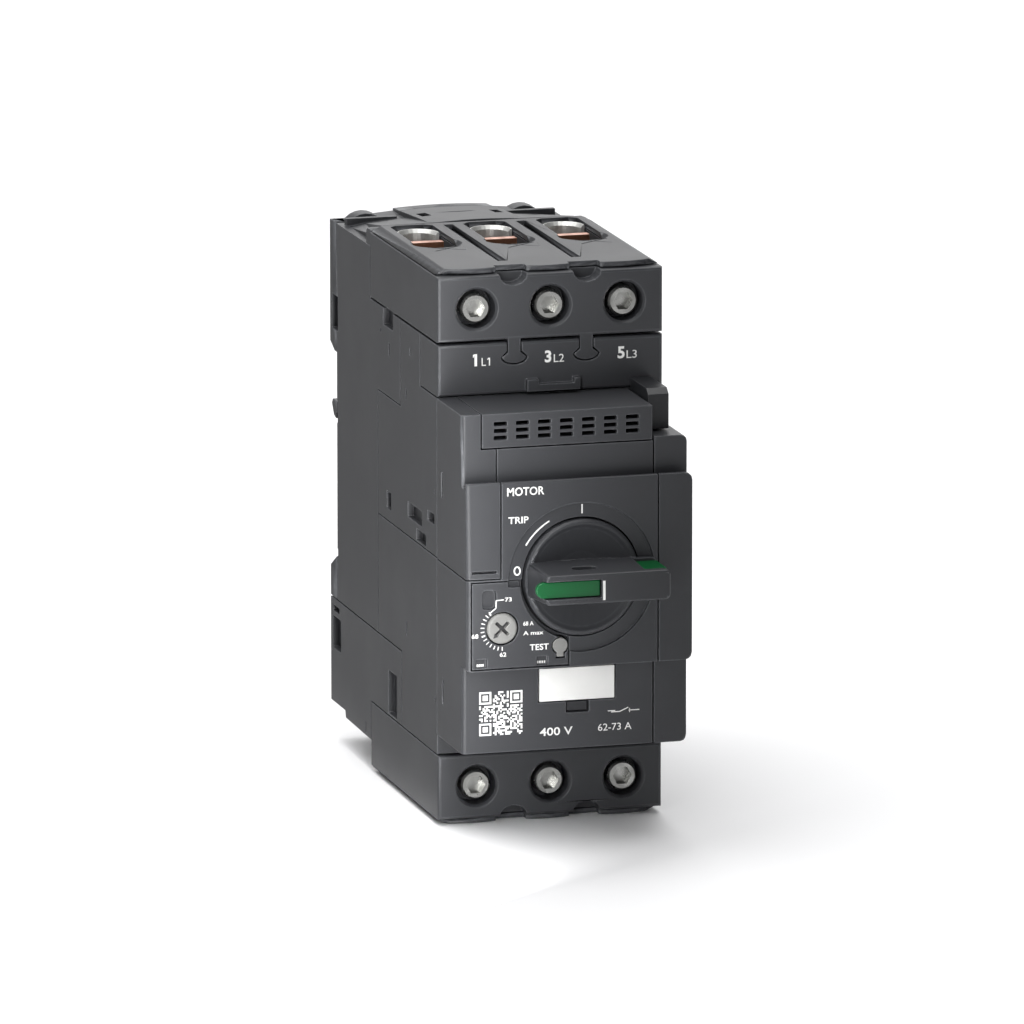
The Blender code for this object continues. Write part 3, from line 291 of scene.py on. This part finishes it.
# %% Plastic recipe
def plastic(name, base, wear_and_highlight_colour, roughness=0.5, grain=0.35, wear=0.6, grains=2600.0, gloss=0.4):
    """Moulded plastic: mottled colour, corners lighter for wear and as a painted highlight, and fine grain.
    """
    material, tree, shader = new_finish(name)
    surface = place_group(tree, moulded_grain, Grains_per_metre=grains)
    corners = place_group(tree, edge_wear, Radius=0.00045, Patchiness=0.55)
    deeper = tuple(0.96 * channel for channel in base[:3]) + (1.0,)
    body = blend_colours(tree, surface.outputs["Mottle"], base, deeper)
    # Corners take the lighter edge colour: wear, and also a painted highlight along the edges.
    wear_and_highlight_amount = sum_of(tree, "MULTIPLY", corners.outputs["Mask"], wear)
    tree.links.new(blend_colours(tree, wear_and_highlight_amount, body, wear_and_highlight_colour), shader.inputs["Base Color"])
    polish = spread(tree, surface.outputs["Handling"], 0.0, 1.0, roughness, roughness - 0.025)
    smoother = sum_of(tree, "MULTIPLY", wear_and_highlight_amount, 0.12)
    tree.links.new(sum_of(tree, "SUBTRACT", polish, smoother), shader.inputs["Roughness"])
    bump(tree, shader, surface.outputs["Height"], grain, 0.00004)
    shader.inputs["Specular IOR Level"].default_value = gloss
    return material


finishes = {
    # The charcoal's lighter edge colour is partly a painted highlight along its corners.
    "charcoal": plastic("charcoal_housing", colour(50, 51, 54), colour(118, 120, 124), 0.46),
    "dark_grey": plastic("dark_grey_trim", colour(34, 35, 38), colour(80, 81, 84), 0.42),
    "light_grey": plastic("light_grey_dial", colour(122, 122, 120), colour(158, 158, 155), 0.42, 0.2, 0.5),
    "green": plastic("green_pointer", colour(0, 80, 38), colour(26, 118, 70), 0.30, 0.12, 0.5),
    "label_white": plastic("label_film", colour(216, 216, 214), colour(226, 226, 224), 0.42, 0.1, 0.2),
    "chamber_cream": plastic("chamber_frame", colour(196, 188, 170), colour(212, 206, 192), 0.55, 0.4, 0.4),
}
print("plastics:", sorted(finishes))

# %% Metal recipe
def metal(name, base, dulled, roughness, dull_roughness, streak=0.25):
    """Plated or bare metal: drawn streaks, slow dulling and bright corners."""
    material, tree, shader = new_finish(name)
    surface = place_group(tree, streaks)
    corners = place_group(tree, edge_wear, Radius=0.0003, Patchiness=0.4)
    tone = blend_colours(tree, surface.outputs["Dulling"], base, dulled)
    bright = tuple(min(1.0, 1.15 * channel) for channel in base[:3]) + (1.0,)
    tree.links.new(blend_colours(tree, corners.outputs["Mask"], tone, bright), shader.inputs["Base Color"])
    rough = spread(tree, surface.outputs["Dulling"], 0.0, 1.0, roughness, dull_roughness)
    tree.links.new(rough, shader.inputs["Roughness"])
    bump(tree, shader, surface.outputs["Height"], streak, 0.00003)
    shader.inputs["Metallic"].default_value = 1.0
    return material


finishes["zinc_steel"] = metal("zinc_plated_steel", colour(172, 172, 169), colour(140, 140, 137), 0.24, 0.38)
finishes["iron"] = metal("plain_sheet_iron", colour(150, 150, 152), colour(118, 117, 118), 0.36, 0.52)
finishes["copper"] = metal("bare_copper", colour(198, 142, 114), colour(132, 88, 70), 0.28, 0.46)
finishes["zinc_cage"] = metal("stamped_zinc_cage", colour(232, 232, 229), colour(206, 206, 203), 0.40, 0.52)
print("all finishes:", sorted(finishes))

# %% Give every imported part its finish
slots = {material["slot"] for material in frame["record"]["materials"]}
for name, node in nodes.items():
    kind = node.material_slots[0].material.name.split(".")[0]
    kind if kind in slots else "light_grey"
    for held in node.material_slots:
        held.material = finishes["zinc_cage" if "clamp_cage" in name else kind]
print("first part is", sorted(nodes)[0], "in", nodes[sorted(nodes)[0]].material_slots[0].material.name)

# %% [markdown]
# ## Rounded moulding edges
# No moulded edge is truly sharp: the mould leaves a radius of a few tenths of a millimetre,
# and that radius is what catches the light along every corner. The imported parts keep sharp
# edges because they also serve for measuring and for physics. Each visible plastic part gets a
# copy with bevelled edges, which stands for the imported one. A bevel takes material away from
# outer edges, and a last step holds each copy inside its part's box. Parts that are one
# moulding on the real breaker meet without an edge, so their faces are brought together first.

# %% Soft-edged copies
FOLD = math.radians(32)      # two faces that meet at more than this make a corner
DRAWN = 0.02                 # faces that meet at less than this angle lie in one surface


def corner_of(edge):
    """True for an edge between two faces that meet at a corner."""
    return len(edge.link_faces) == 2 and edge.calc_face_angle(0.0) > FOLD


def room_at(vertex):
    """Length of the shortest drawn edge at a vertex, which limits the radius there."""
    drawn = [edge.calc_length() for edge in vertex.link_edges
             if len(edge.link_faces) == 2 and edge.calc_face_angle(0.0) > DRAWN]
    return min(drawn, default=1.0)


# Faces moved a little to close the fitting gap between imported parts: the axis, where the face
# lies and how far it moves, in millimetres. The grip's front moves back to make room for print.
CLOSED_GAPS = {
    "upper_terminal_lid": [(2, 68.3, -0.27)],
    "lower_terminal_lid": [(2, -62.7, 0.27)],
    "rail_foot": [(1, 0.3, -0.27), (1, 0.4, -0.45)],
    "lower_foot": [(1, 0.3, -0.27)],
    "rear_base": [(1, 0.0, 0.0)],
    "rotary_handle": [(1, -130.6, 0.05)],
}


ON_FACE = 0.01               # how near a point lies to a face that it belongs to
FRONT = -100.0               # faces further forward than this keep their round edges


def lies_on(vertex, axis, place):
    """True for a point on a face square to an axis."""
    return abs(vertex.co[axis] - place * MM) < ON_FACE * MM


def close_gaps(form, gaps):
    """Moves each listed face of a mesh by its own small step."""
    for axis, place, shift in gaps:
        for vertex in form.verts:
            if lies_on(vertex, axis, place):
                vertex.co[axis] += shift * MM


def cleaned(mesh, width, gaps):
    """Merges a mesh's faces where they are flat, and marks how far each corner may be rounded."""
    form = bmesh.new()
    form.from_mesh(mesh)
    bmesh.ops.remove_doubles(form, verts=form.verts, dist=1e-6)
    close_gaps(form, gaps)
    joins = [(axis, place + shift) for axis, place, shift in gaps if place > FRONT]
    bmesh.ops.dissolve_limit(form, angle_limit=math.radians(0.5), verts=form.verts, edges=form.edges)
    bmesh.ops.triangulate(form, faces=form.faces)
    weight = form.edges.layers.float.new("bevel_weight_edge")
    for edge in form.edges:
        room = min(room_at(vertex) for vertex in edge.verts)
        on_join = any(all(lies_on(vertex, *join) for vertex in edge.verts) for join in joins)
        edge[weight] = min(1.0, room / (2.4 * width)) if corner_of(edge) and not on_join else 0.0
    for face in form.faces:
        face.smooth = True
    form.to_mesh(mesh)
    form.free()


def form_box(mesh):
    """Lowest and highest corner of a mesh."""
    return [[pick(v.co[axis] for v in mesh.vertices) for axis in range(3)] for pick in (min, max)]


def keep_inside(mesh, low, high):
    """Holds a mesh's points inside a box, where an arc between two edges bulges past it."""
    for vertex in mesh.vertices:
        for axis in range(3):
            vertex.co[axis] = min(max(vertex.co[axis], low[axis]), high[axis])


def soft_edged(name, width):
    """A copy of a part with a small radius on its edges, which stands for that part."""
    source = nodes[name]
    mesh = source.data.copy()
    cleaned(mesh, width, CLOSED_GAPS.get(name, []))
    copy = bpy.data.objects.new(name + "_moulding", mesh)
    bpy.context.scene.collection.objects.link(copy)
    rounding = copy.modifiers.new("edge_radius", "BEVEL")
    rounding.limit_method = "WEIGHT"
    rounding.width = width
    rounding.segments = 2
    rounding.use_clamp_overlap = False
    rounding.miter_outer = "MITER_ARC"
    copy.modifiers.new("flat_faces", "TRIANGULATE")
    shading = copy.modifiers.new("even_shading", "WEIGHTED_NORMAL")
    shading.weight = 100
    copy.data = bpy.data.meshes.new_from_object(copy.evaluated_get(bpy.context.evaluated_depsgraph_get()))
    copy.data.name = name + "_moulding"
    keep_inside(copy.data, *form_box(source.data))
    copy.modifiers.clear()
    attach(copy, body_of[name])
    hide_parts(name)
    return copy


SOFT_PARTS = (
    "front_cover", "left_cover", "right_cover", "vent_grille", "side_block", "setting_plate",
    "terminal_cover", "upper_case", "lower_case", "rear_base", "rail_foot", "lower_foot", "rear_lower_case",
    "upper_terminal_block", "lower_terminal_block", "upper_terminal_lid", "lower_terminal_lid",
    "rotary_handle", "label_tab", "rail_latch", "handle_pointer", "padlock_slide", "marker_label",
    "setting_dial", "test_button",
)
moulded = {name: soft_edged(name, 0.18 * MM) for name in SOFT_PARTS}
print(len(moulded), "parts have soft edges,", sum(len(o.data.polygons) for o in moulded.values()), "faces")

# %% [markdown]
# ## The latch spring
# A small compression spring pushes the rail latch up. When a screwdriver pulls the latch
# down, the coils close up towards their lower seat. A curve swept by a round wire gives the
# coil.

# %% Spring coil
COIL_TURNS = 5
COIL_RADIUS = 2.0
COIL_LOW, COIL_HIGH = -46.3, -38.1       # middle of the wire at both ends
COIL_BACK = -1.3
WIRE_RADIUS = 0.4


def mesh_of(curve):
    """A curve turned into a mesh, with the curve itself cleared away."""
    draft = bpy.data.objects.new("draft", curve)
    bpy.context.scene.collection.objects.link(draft)
    bpy.context.view_layer.update()
    mesh = bpy.data.meshes.new_from_object(draft)
    bpy.data.objects.remove(draft)
    bpy.data.curves.remove(curve)
    return mesh


def latch_coil():
    """The spring as a mesh: a helix of round wire."""
    steps = 28 * COIL_TURNS
    curve = bpy.data.curves.new("latch_spring_coil", "CURVE")
    curve.dimensions = "3D"
    wire = curve.splines.new("POLY")
    wire.points.add(steps)
    for index, spot in enumerate(wire.points):
        angle = 2 * math.pi * COIL_TURNS * index / steps
        height = COIL_LOW + (COIL_HIGH - COIL_LOW) * index / steps
        place = Vector((COIL_RADIUS * math.cos(angle), COIL_BACK + COIL_RADIUS * math.sin(angle), height))
        spot.co = (*(place * MM), 1.0)
    curve.bevel_depth = WIRE_RADIUS * MM
    curve.bevel_resolution = 2
    curve.use_fill_caps = True
    mesh = mesh_of(curve)
    for face in mesh.polygons:
        face.use_smooth = True
    keep_inside(mesh, *form_box(nodes["latch_spring"].data))
    mesh.materials.clear()
    mesh.materials.append(finishes["zinc_steel"])
    coil = bpy.data.objects.new("latch_spring_coil", mesh)
    bpy.context.scene.collection.objects.link(coil)
    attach(coil, "housing")
    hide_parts("latch_spring")
    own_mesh(coil)
    return coil


coil = latch_coil()

# %% [markdown]
# ## White print
# The markings are pad printed: a film of white ink a few hundredths of a millimetre thick.
# They could be painted into the material, but real thin pieces stay sharp at any distance and
# export as they are. Letters and digits come from Blender's own font, apart from the figure 1,
# which is a bare stroke there. Only general markings of a motor switch are used.

# %% Ink and flat pieces
INK = 0.03               # thickness of the ink film, in millimetres
RAISED_FACE = -117.3     # face that carries the handle
DISH_FLOOR = -116.5      # ring round the handle's disc
LOWER_FACE = -113.2      # band and lower section
TERMINAL_FACE = -92.2
GRIP_FACE = -130.55      # front of the handle's grip
DIAL_FACE = -117.5
SLOT_FLOOR = -116.5      # bottom of the dial's cross slot
SQUARE_FLOOR = -116.4    # floors of the small squares in the setting plate


def ink_finish():
    """White ink whose cover is a little uneven."""
    material, tree, shader = new_finish("white_ink")
    surface = place_group(tree, moulded_grain, Grains_per_metre=5200.0)
    thin = blend_colours(tree, surface.outputs["Mottle"], colour(236, 236, 234), colour(214, 214, 212))
    tree.links.new(thin, shader.inputs["Base Color"])
    shader.inputs["Roughness"].default_value = 0.5
    bump(tree, shader, surface.outputs["Height"], 0.15, 0.00002)
    return material


ink = ink_finish()


def printed(name, outlines, face, body="housing", material=None, thickness=INK):
    """One flat piece of print from closed outlines of x and z in millimetres, on a face at y."""
    form = bmesh.new()
    for outline in outlines:
        front = [form.verts.new((x * MM, (face - thickness) * MM, z * MM)) for x, z in outline]
        back = [form.verts.new((x * MM, face * MM, z * MM)) for x, z in outline]
        form.faces.new(front)
        form.faces.new(list(reversed(back)))
        for index in range(len(front)):
            after = (index + 1) % len(front)
            form.faces.new((front[index], back[index], back[after], front[after]))
    bmesh.ops.recalc_face_normals(form, faces=form.faces)
    mesh = bpy.data.meshes.new(name)
    form.to_mesh(mesh)
    form.free()
    return laid_on(name, mesh, body, material or ink)


def laid_on(name, mesh, body, material):
    """A mesh as a piece that rides on a body."""
    mesh.materials.clear()
    mesh.materials.append(material)
    shape = bpy.data.objects.new(name, mesh)
    bpy.context.scene.collection.objects.link(shape)
    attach(shape, body)
    return shape


def lettering(name, words, x, z, face, width, height, bold=0.0, turn=0.0, body="housing"):
    """Printed words from a lower left corner, in millimetres; no width keeps the font's proportions."""
    curve = bpy.data.curves.new(name, "FONT")
    curve.body = words
    curve.offset = bold
    curve.resolution_u = 3
    curve.extrude = 0.5
    mesh = mesh_of(curve)
    low = [min(v.co[axis] for v in mesh.vertices) for axis in range(3)]
    high = [max(v.co[axis] for v in mesh.vertices) for axis in range(3)]
    tall = height / (high[1] - low[1])
    sizes = (width / (high[0] - low[0]) if width else tall, tall, INK / (high[2] - low[2]))
    fit = Matrix.Diagonal((*[size * MM for size in sizes], 1.0)) @ Matrix.Translation([-v for v in low])
    upright = Matrix.Rotation(math.radians(90), 4, "X")
    turned = Matrix.Rotation(math.radians(-turn), 4, "Y")
    mesh.transform(Matrix.Translation((x * MM, face * MM, z * MM)) @ turned @ upright @ fit)
    mesh.name = name
    return laid_on(name, mesh, body, ink)


print("ink helpers are ready")

# %% Outlines
def bar(x, z, half_x, half_z):
    """A rectangle round a middle."""
    return [(x - half_x, z - half_z), (x + half_x, z - half_z),
            (x + half_x, z + half_z), (x - half_x, z + half_z)]


def stroke(start, end, width):
    """A straight line of some width between two points."""
    along = Vector((end[0] - start[0], end[1] - start[1])).normalized()
    side = Vector((-along.y, along.x)) * width / 2
    ends = (Vector(start) - side, Vector(end) - side, Vector(end) + side, Vector(start) + side)
    return [tuple(point) for point in ends]


def ring_part(centre, inner, outer, start, end, steps):
    """Part of a ring, from one angle to another in degrees, as short closed pieces."""
    pieces = []
    for index in range(steps):
        angles = [math.radians(start + (end - start) * (index + k) / steps) for k in (0, 1)]
        corners = []
        for radius, order in ((inner, angles), (outer, reversed(angles))):
            corners += [(centre[0] + radius * math.cos(a), centre[1] + radius * math.sin(a)) for a in order]
        pieces.append(corners)
    return pieces


def figure_one(x, z, height, width):
    """The figure 1: an upright stem with a slanted flag, from its lower left corner."""
    reach = 0.34 * height
    left = x + reach - width
    stem = [(left, z), (x + reach, z), (x + reach, z + height), (left, z + height)]
    flag = [(x, z + 0.70 * height), (left, z + 0.86 * height),
            (left, z + height), (x, z + 0.70 * height + 1.1 * width)]
    return [stem, flag]


print("outline helpers are ready")

# %% [markdown]
# ## Markings of the handle and the terminals
# The handle's three stops are marked on, off and tripped, with an arc beside the last one, and
# a bar across the grip shows which way it points. The terminals are numbered the way every
# motor switch numbers them.

# %% Stops and terminal numbers
DIAL = (-18.8, -11.2)

printed("mark_on", [bar(0.8, 16.2, 0.17, 1.1)], DISH_FLOOR)
ring = []
for index in range(28):
    angles = [2 * math.pi * (index + k) / 28 for k in (0, 1)]
    inner = [(-14.95 + 0.52 * math.cos(a), 2.2 + 0.78 * math.sin(a)) for a in angles]
    outer = [(-14.95 + 0.86 * math.cos(a), 2.2 + 1.12 * math.sin(a)) for a in reversed(angles)]
    ring.append(inner + outer)
printed("mark_off", ring, DISH_FLOOR)
printed("grip_bar", [bar(2.2, -0.5, 0.3, 2.3)], GRIP_FACE, "handle")
lettering("kind_word", "MOTOR", -17.6, 20.3, RAISED_FACE, 9.0, 2.0, 0.014)
lettering("mark_tripped", "TRIP", -17.3, 13.7, RAISED_FACE, 4.9, 1.6, 0.012)
printed("mark_arc", ring_part((0.8, -0.15), 15.8, 16.15, 119.7, 148.6, 14), DISH_FLOOR)
printed("terminal_1", figure_one(-18.9, 46.5, 2.9, 0.62), TERMINAL_FACE)
lettering("terminal_L1", "L", -16.8, 46.5, TERMINAL_FACE, 1.05, 1.9)
printed("terminal_L1_figure", figure_one(-15.4, 46.5, 1.9, 0.27), TERMINAL_FACE)
for number, wire, x in (("3", "L2", -1.4), ("5", "L3", 16.4)):
    lettering("terminal_" + number, number, x, 46.5, TERMINAL_FACE, None, 2.9, 0.03)
    lettering("terminal_" + wire, wire, x + 2.2, 46.5, TERMINAL_FACE, 2.5, 1.9)
print("terminal numbers stand on the face at y", TERMINAL_FACE)

# %% [markdown]
# ## The setting scale
# Fine ticks run round the dial from the lowest to the highest setting, and a bent leader takes
# the highest one past the plate's window. The ticks are one piece made by a loop, since
# drawing them one by one would be slow. The dial's slot is too shallow to look deep by shadow
# alone, so its floor gets painted shade, a dark sheet laid in it. A dark printed arrow in the
# same colour points at the scale.

# %% Scale, numbers and test word
ticks = []
for index in range(13):
    angle = math.radians(270 - 142 * index / 12)
    inner = (DIAL[0] + 4.35 * math.cos(angle), DIAL[1] + 4.35 * math.sin(angle))
    outer = (DIAL[0] + 5.25 * math.cos(angle), DIAL[1] + 5.25 * math.sin(angle))
    ticks.append(stroke(inner, outer, 0.34 if index == 6 else 0.2))
leader = [(-2.7, 3.3), (-3.2, 3.7), (-1.5, 5.0), (-1.5, 6.8), (0.4, 6.9)]
for start, end in zip(leader, leader[1:]):
    points = [(DIAL[0] + point[0], DIAL[1] + point[1]) for point in (start, end)]
    ticks.append(stroke(*points, 0.22))
printed("dial_scale", ticks, RAISED_FACE)
# Painted shade: dark sheets on the slot's floor stand for the shadow in the slot.
slot_shade = plastic("slot_shade", colour(46, 46, 47), colour(58, 58, 59), 0.6, 0.3, 0.3)
arms = []
for angle in (45.0, 135.0):
    along = Vector((math.cos(math.radians(angle)), math.sin(math.radians(angle))))
    ends = [tuple(Vector(DIAL) + along * reach) for reach in (-2.02, 2.02)]
    arms.append(stroke(*ends, 0.78))
for index, arm in enumerate(arms):
    printed(f"dial_slot_shade_{index + 1}", [arm], SLOT_FLOOR - 0.01 * index, "setting_dial",
            slot_shade)
heading = Vector((math.cos(math.radians(225)), math.sin(math.radians(225))))
across = Vector((-heading.y, heading.x)) * 0.62
tip = Vector(DIAL) + heading * 3.15
foot = Vector(DIAL) + heading * 2.0
# The arrow is dark print in the same colour as the painted shade.
printed("dial_arrow", [[tuple(tip), tuple(foot + across), tuple(foot - across)]], DIAL_FACE,
        "setting_dial", slot_shade)
for words, x, z in (("62", -0.6, -6.7), ("68", -7.4, -2.0), ("73", 0.7, 6.4)):
    lettering("setting_" + words, words, DIAL[0] + x, DIAL[1] + z, RAISED_FACE, 1.6, 1.0, 0.01)
lettering("setting_middle", "68 A", -13.7, -10.8, RAISED_FACE, 2.5, 1.0, 0.01)
lettering("setting_highest", "A max", -13.7, -13.1, RAISED_FACE, 4.9, 1.0, 0.01)
lettering("test_word", "TEST", -12.1, -16.8, RAISED_FACE, 4.6, 1.45, 0.012)
for name, left, right in (("note_left", -24.8, -23.0), ("note_right", -10.2, -8.0)):
    dashes = [bar(left + (right - left) * (k + 0.5) / 4, -19.9, 0.17, 0.3) for k in range(4)]
    printed(name, dashes, SQUARE_FLOOR)
print(len(ticks), "strokes in the scale")

# %% [markdown]
# ## The lower section
# Below the write-on label stand the voltage, the setting range and the sign of a switch
# contact. A square block of modules fills the place where such housings carry a data code.
# Here a seeded scatter fills it, so it looks the same each run and holds no data.

# %% Lower markings
printed("range_words_line", [bar(9.0, -33.4, 0.9, 0.1)], LOWER_FACE)
lettering("range_numbers", "62-73 A", 5.7, -38.1, LOWER_FACE, 8.2, 1.7)
lettering("voltage", "400 V", -8.5, -38.5, LOWER_FACE, 8.0, 1.95, 0.012)
sign = [stroke((8.9, -33.7), (11.0, -33.7), 0.22), stroke((11.0, -33.7), (13.1, -32.8), 0.22),
        stroke((13.2, -33.5), (15.8, -33.5), 0.22), stroke((13.4, -33.0), (13.4, -34.0), 0.2)]
printed("switch_sign", sign, LOWER_FACE)
CELLS = 25
pitch = 10.5 / CELLS
dice = random.Random(5)
scatter = [[dice.random() < 0.5 for column in range(CELLS)] for row in range(CELLS)]


def filled(row, column):
    """True where a module is printed: three corner squares, and a scattered fill elsewhere."""
    for top, left in ((0, 0), (0, CELLS - 7), (CELLS - 7, 0)):
        down, along = row - top, column - left
        if -1 <= down <= 7 and -1 <= along <= 7:
            ring_step = max(abs(down - 3), abs(along - 3))
            return ring_step in (3, 1, 0)
    return scatter[row][column]


modules = []
for row in range(CELLS):
    run = None
    for column in range(CELLS + 1):
        here = column < CELLS and filled(row, column)
        if here and run is None:
            run = column
        if not here and run is not None:
            left, right = -23.25 + run * pitch, -23.25 + column * pitch
            middle = -27.1 - (row + 0.5) * pitch
            modules.append(bar((left + right) / 2, middle, (right - left) / 2, pitch / 2))
            run = None
printed("data_block", modules, LOWER_FACE)
print(len(modules), "runs of modules, pitch", round(pitch, 2), "mm")

# %% [markdown]
# ## Floor, light and camera
# The breaker stands on its lower terminal lid on a pale floor. Large soft lights above and
# behind do most of the work, a weak one fills the left, and a narrow strip close by lets the
# front fall off from left to right. Two grey cards, seen only in reflections, keep the white
# floor's glare off the left side, as a photographer's flags do. A long lens from three metres
# keeps the upright edges almost parallel.

# %% Floor
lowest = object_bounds()[0].z
bpy.ops.mesh.primitive_plane_add(size=14.0, location=(0.0, 2.0, lowest - 0.0001))
floor = bpy.context.object
floor.name = "studio_floor"
floor_material, floor_tree, floor_shader = new_finish("studio_floor")
floor_noise = noise(floor_tree, add_node(floor_tree, "ShaderNodeTexCoord").outputs["Object"], 3.0)
floor_tone = blend_colours(floor_tree, floor_noise, colour(250, 250, 251), colour(247, 247, 248))
floor_tree.links.new(floor_tone, floor_shader.inputs["Base Color"])
floor_shader.inputs["Roughness"].default_value = 0.6
floor.data.materials.append(floor_material)
floor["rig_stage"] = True
print("floor at z", round(lowest * 1000, 2), "mm")

# %% Lights
def softbox(name, place, target, width, height, power):
    """A rectangular soft light that faces a target."""
    light = bpy.data.lights.new(name, "AREA")
    light.shape = "RECTANGLE"
    light.size = width
    light.size_y = height
    light.energy = power
    shape = bpy.data.objects.new(name, light)
    bpy.context.scene.collection.objects.link(shape)
    shape.location = place
    shape.rotation_mode = "QUATERNION"
    shape.rotation_quaternion = (Vector(target) - Vector(place)).to_track_quat("-Z", "Y")
    return shape


softbox("light_above", (-0.2, 0.2, 1.6), (0.0, -0.05, 0.0), 2.0, 2.0, 44.0)
softbox("light_behind", (0.7, 2.0, 0.75), (0.0, 0.0, 0.0), 1.5, 1.3, 9.5)
softbox("light_left", (-1.5, -0.5, 0.7), (0.0, -0.05, 0.0), 1.2, 1.4, 1.6)
strip_light = softbox("strip_near_front", (-0.045, -0.178, 0.0), (-0.105, -0.098, 0.0), 0.03, 0.26, 0.45)
strip_light.visible_camera = False
world = bpy.data.worlds.new("studio_air")
bpy.context.scene.world = world
world.use_nodes = True
world.node_tree.nodes["Background"].inputs["Color"].default_value = (1.0, 1.0, 1.0, 1.0)
world.node_tree.nodes["Background"].inputs["Strength"].default_value = 0.13
bpy.context.scene.view_settings.view_transform = "Standard"
print("four soft lights")

# %% Grey cards
def grey_card(name, place, tilt, width, height):
    """A card of cloth that only reflections see, to hold the floor's glare off one side."""
    bpy.ops.mesh.primitive_plane_add(size=1.0, location=place, rotation=(tilt, 0.0, 0.0))
    card = bpy.context.object
    card.name = name
    card.scale = (width, height, 1.0)
    card.data.materials.append(card_cloth)
    card.visible_camera = False
    card.visible_shadow = False
    card.visible_diffuse = False
    card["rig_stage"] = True
    return card


card_cloth, card_tree, card_shader = new_finish("grey_cloth")
weave = noise(card_tree, add_node(card_tree, "ShaderNodeTexCoord").outputs["Object"], 90.0)
card_tone = blend_colours(card_tree, weave, colour(20, 20, 21), colour(28, 28, 29))
card_tree.links.new(card_tone, card_shader.inputs["Base Color"])
card_shader.inputs["Roughness"].default_value = 0.9
card_shader.inputs["Emission Color"].default_value = (1.0, 1.0, 1.0, 1.0)
card_shader.inputs["Emission Strength"].default_value = 0.42
grey_card("card_behind", (-0.245, 0.12, 0.095), math.radians(90), 0.42, 0.31)
grey_card("card_low", (-0.245, -0.04, lowest + 0.0004), 0.0, 0.42, 0.32)
print("two cards stand left of the breaker")

# %% Camera
AZIMUTH = -15.638
ELEVATION = 11.833
DISTANCE = 2.99986
LOOK_AT = Vector((-0.381, -60.0, 4.071)) * MM

turn = math.radians(AZIMUTH)
rise = math.radians(ELEVATION)
back = Vector((math.sin(turn) * math.cos(rise), -math.cos(turn) * math.cos(rise), math.sin(rise)))
camera_data = bpy.data.cameras.new("studio_camera")
camera_data.lens = 442.97
camera_data.sensor_width = 36.0
camera_data.clip_start = 0.1
camera_data.clip_end = 100.0
camera = bpy.data.objects.new("studio_camera", camera_data)
bpy.context.scene.collection.objects.link(camera)
camera.location = LOOK_AT + back * DISTANCE
camera.rotation_mode = "QUATERNION"
camera.rotation_quaternion = (-back).to_track_quat("-Z", "Y")
bpy.context.scene.camera = camera
print("camera", [round(v, 3) for v in camera.location])

# %% [markdown]
# ## Sizes
# Both boxes, the imported model's and the finished one's, are printed side by side. The finished
# model may not be larger than the imported one.

# %% Print both boxes and finish
visual_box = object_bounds()
for label, box in (("packed", cad_box), ("finished", visual_box)):
    print(label, [round((high - low) * 1000, 2) for low, high in zip(*box)])
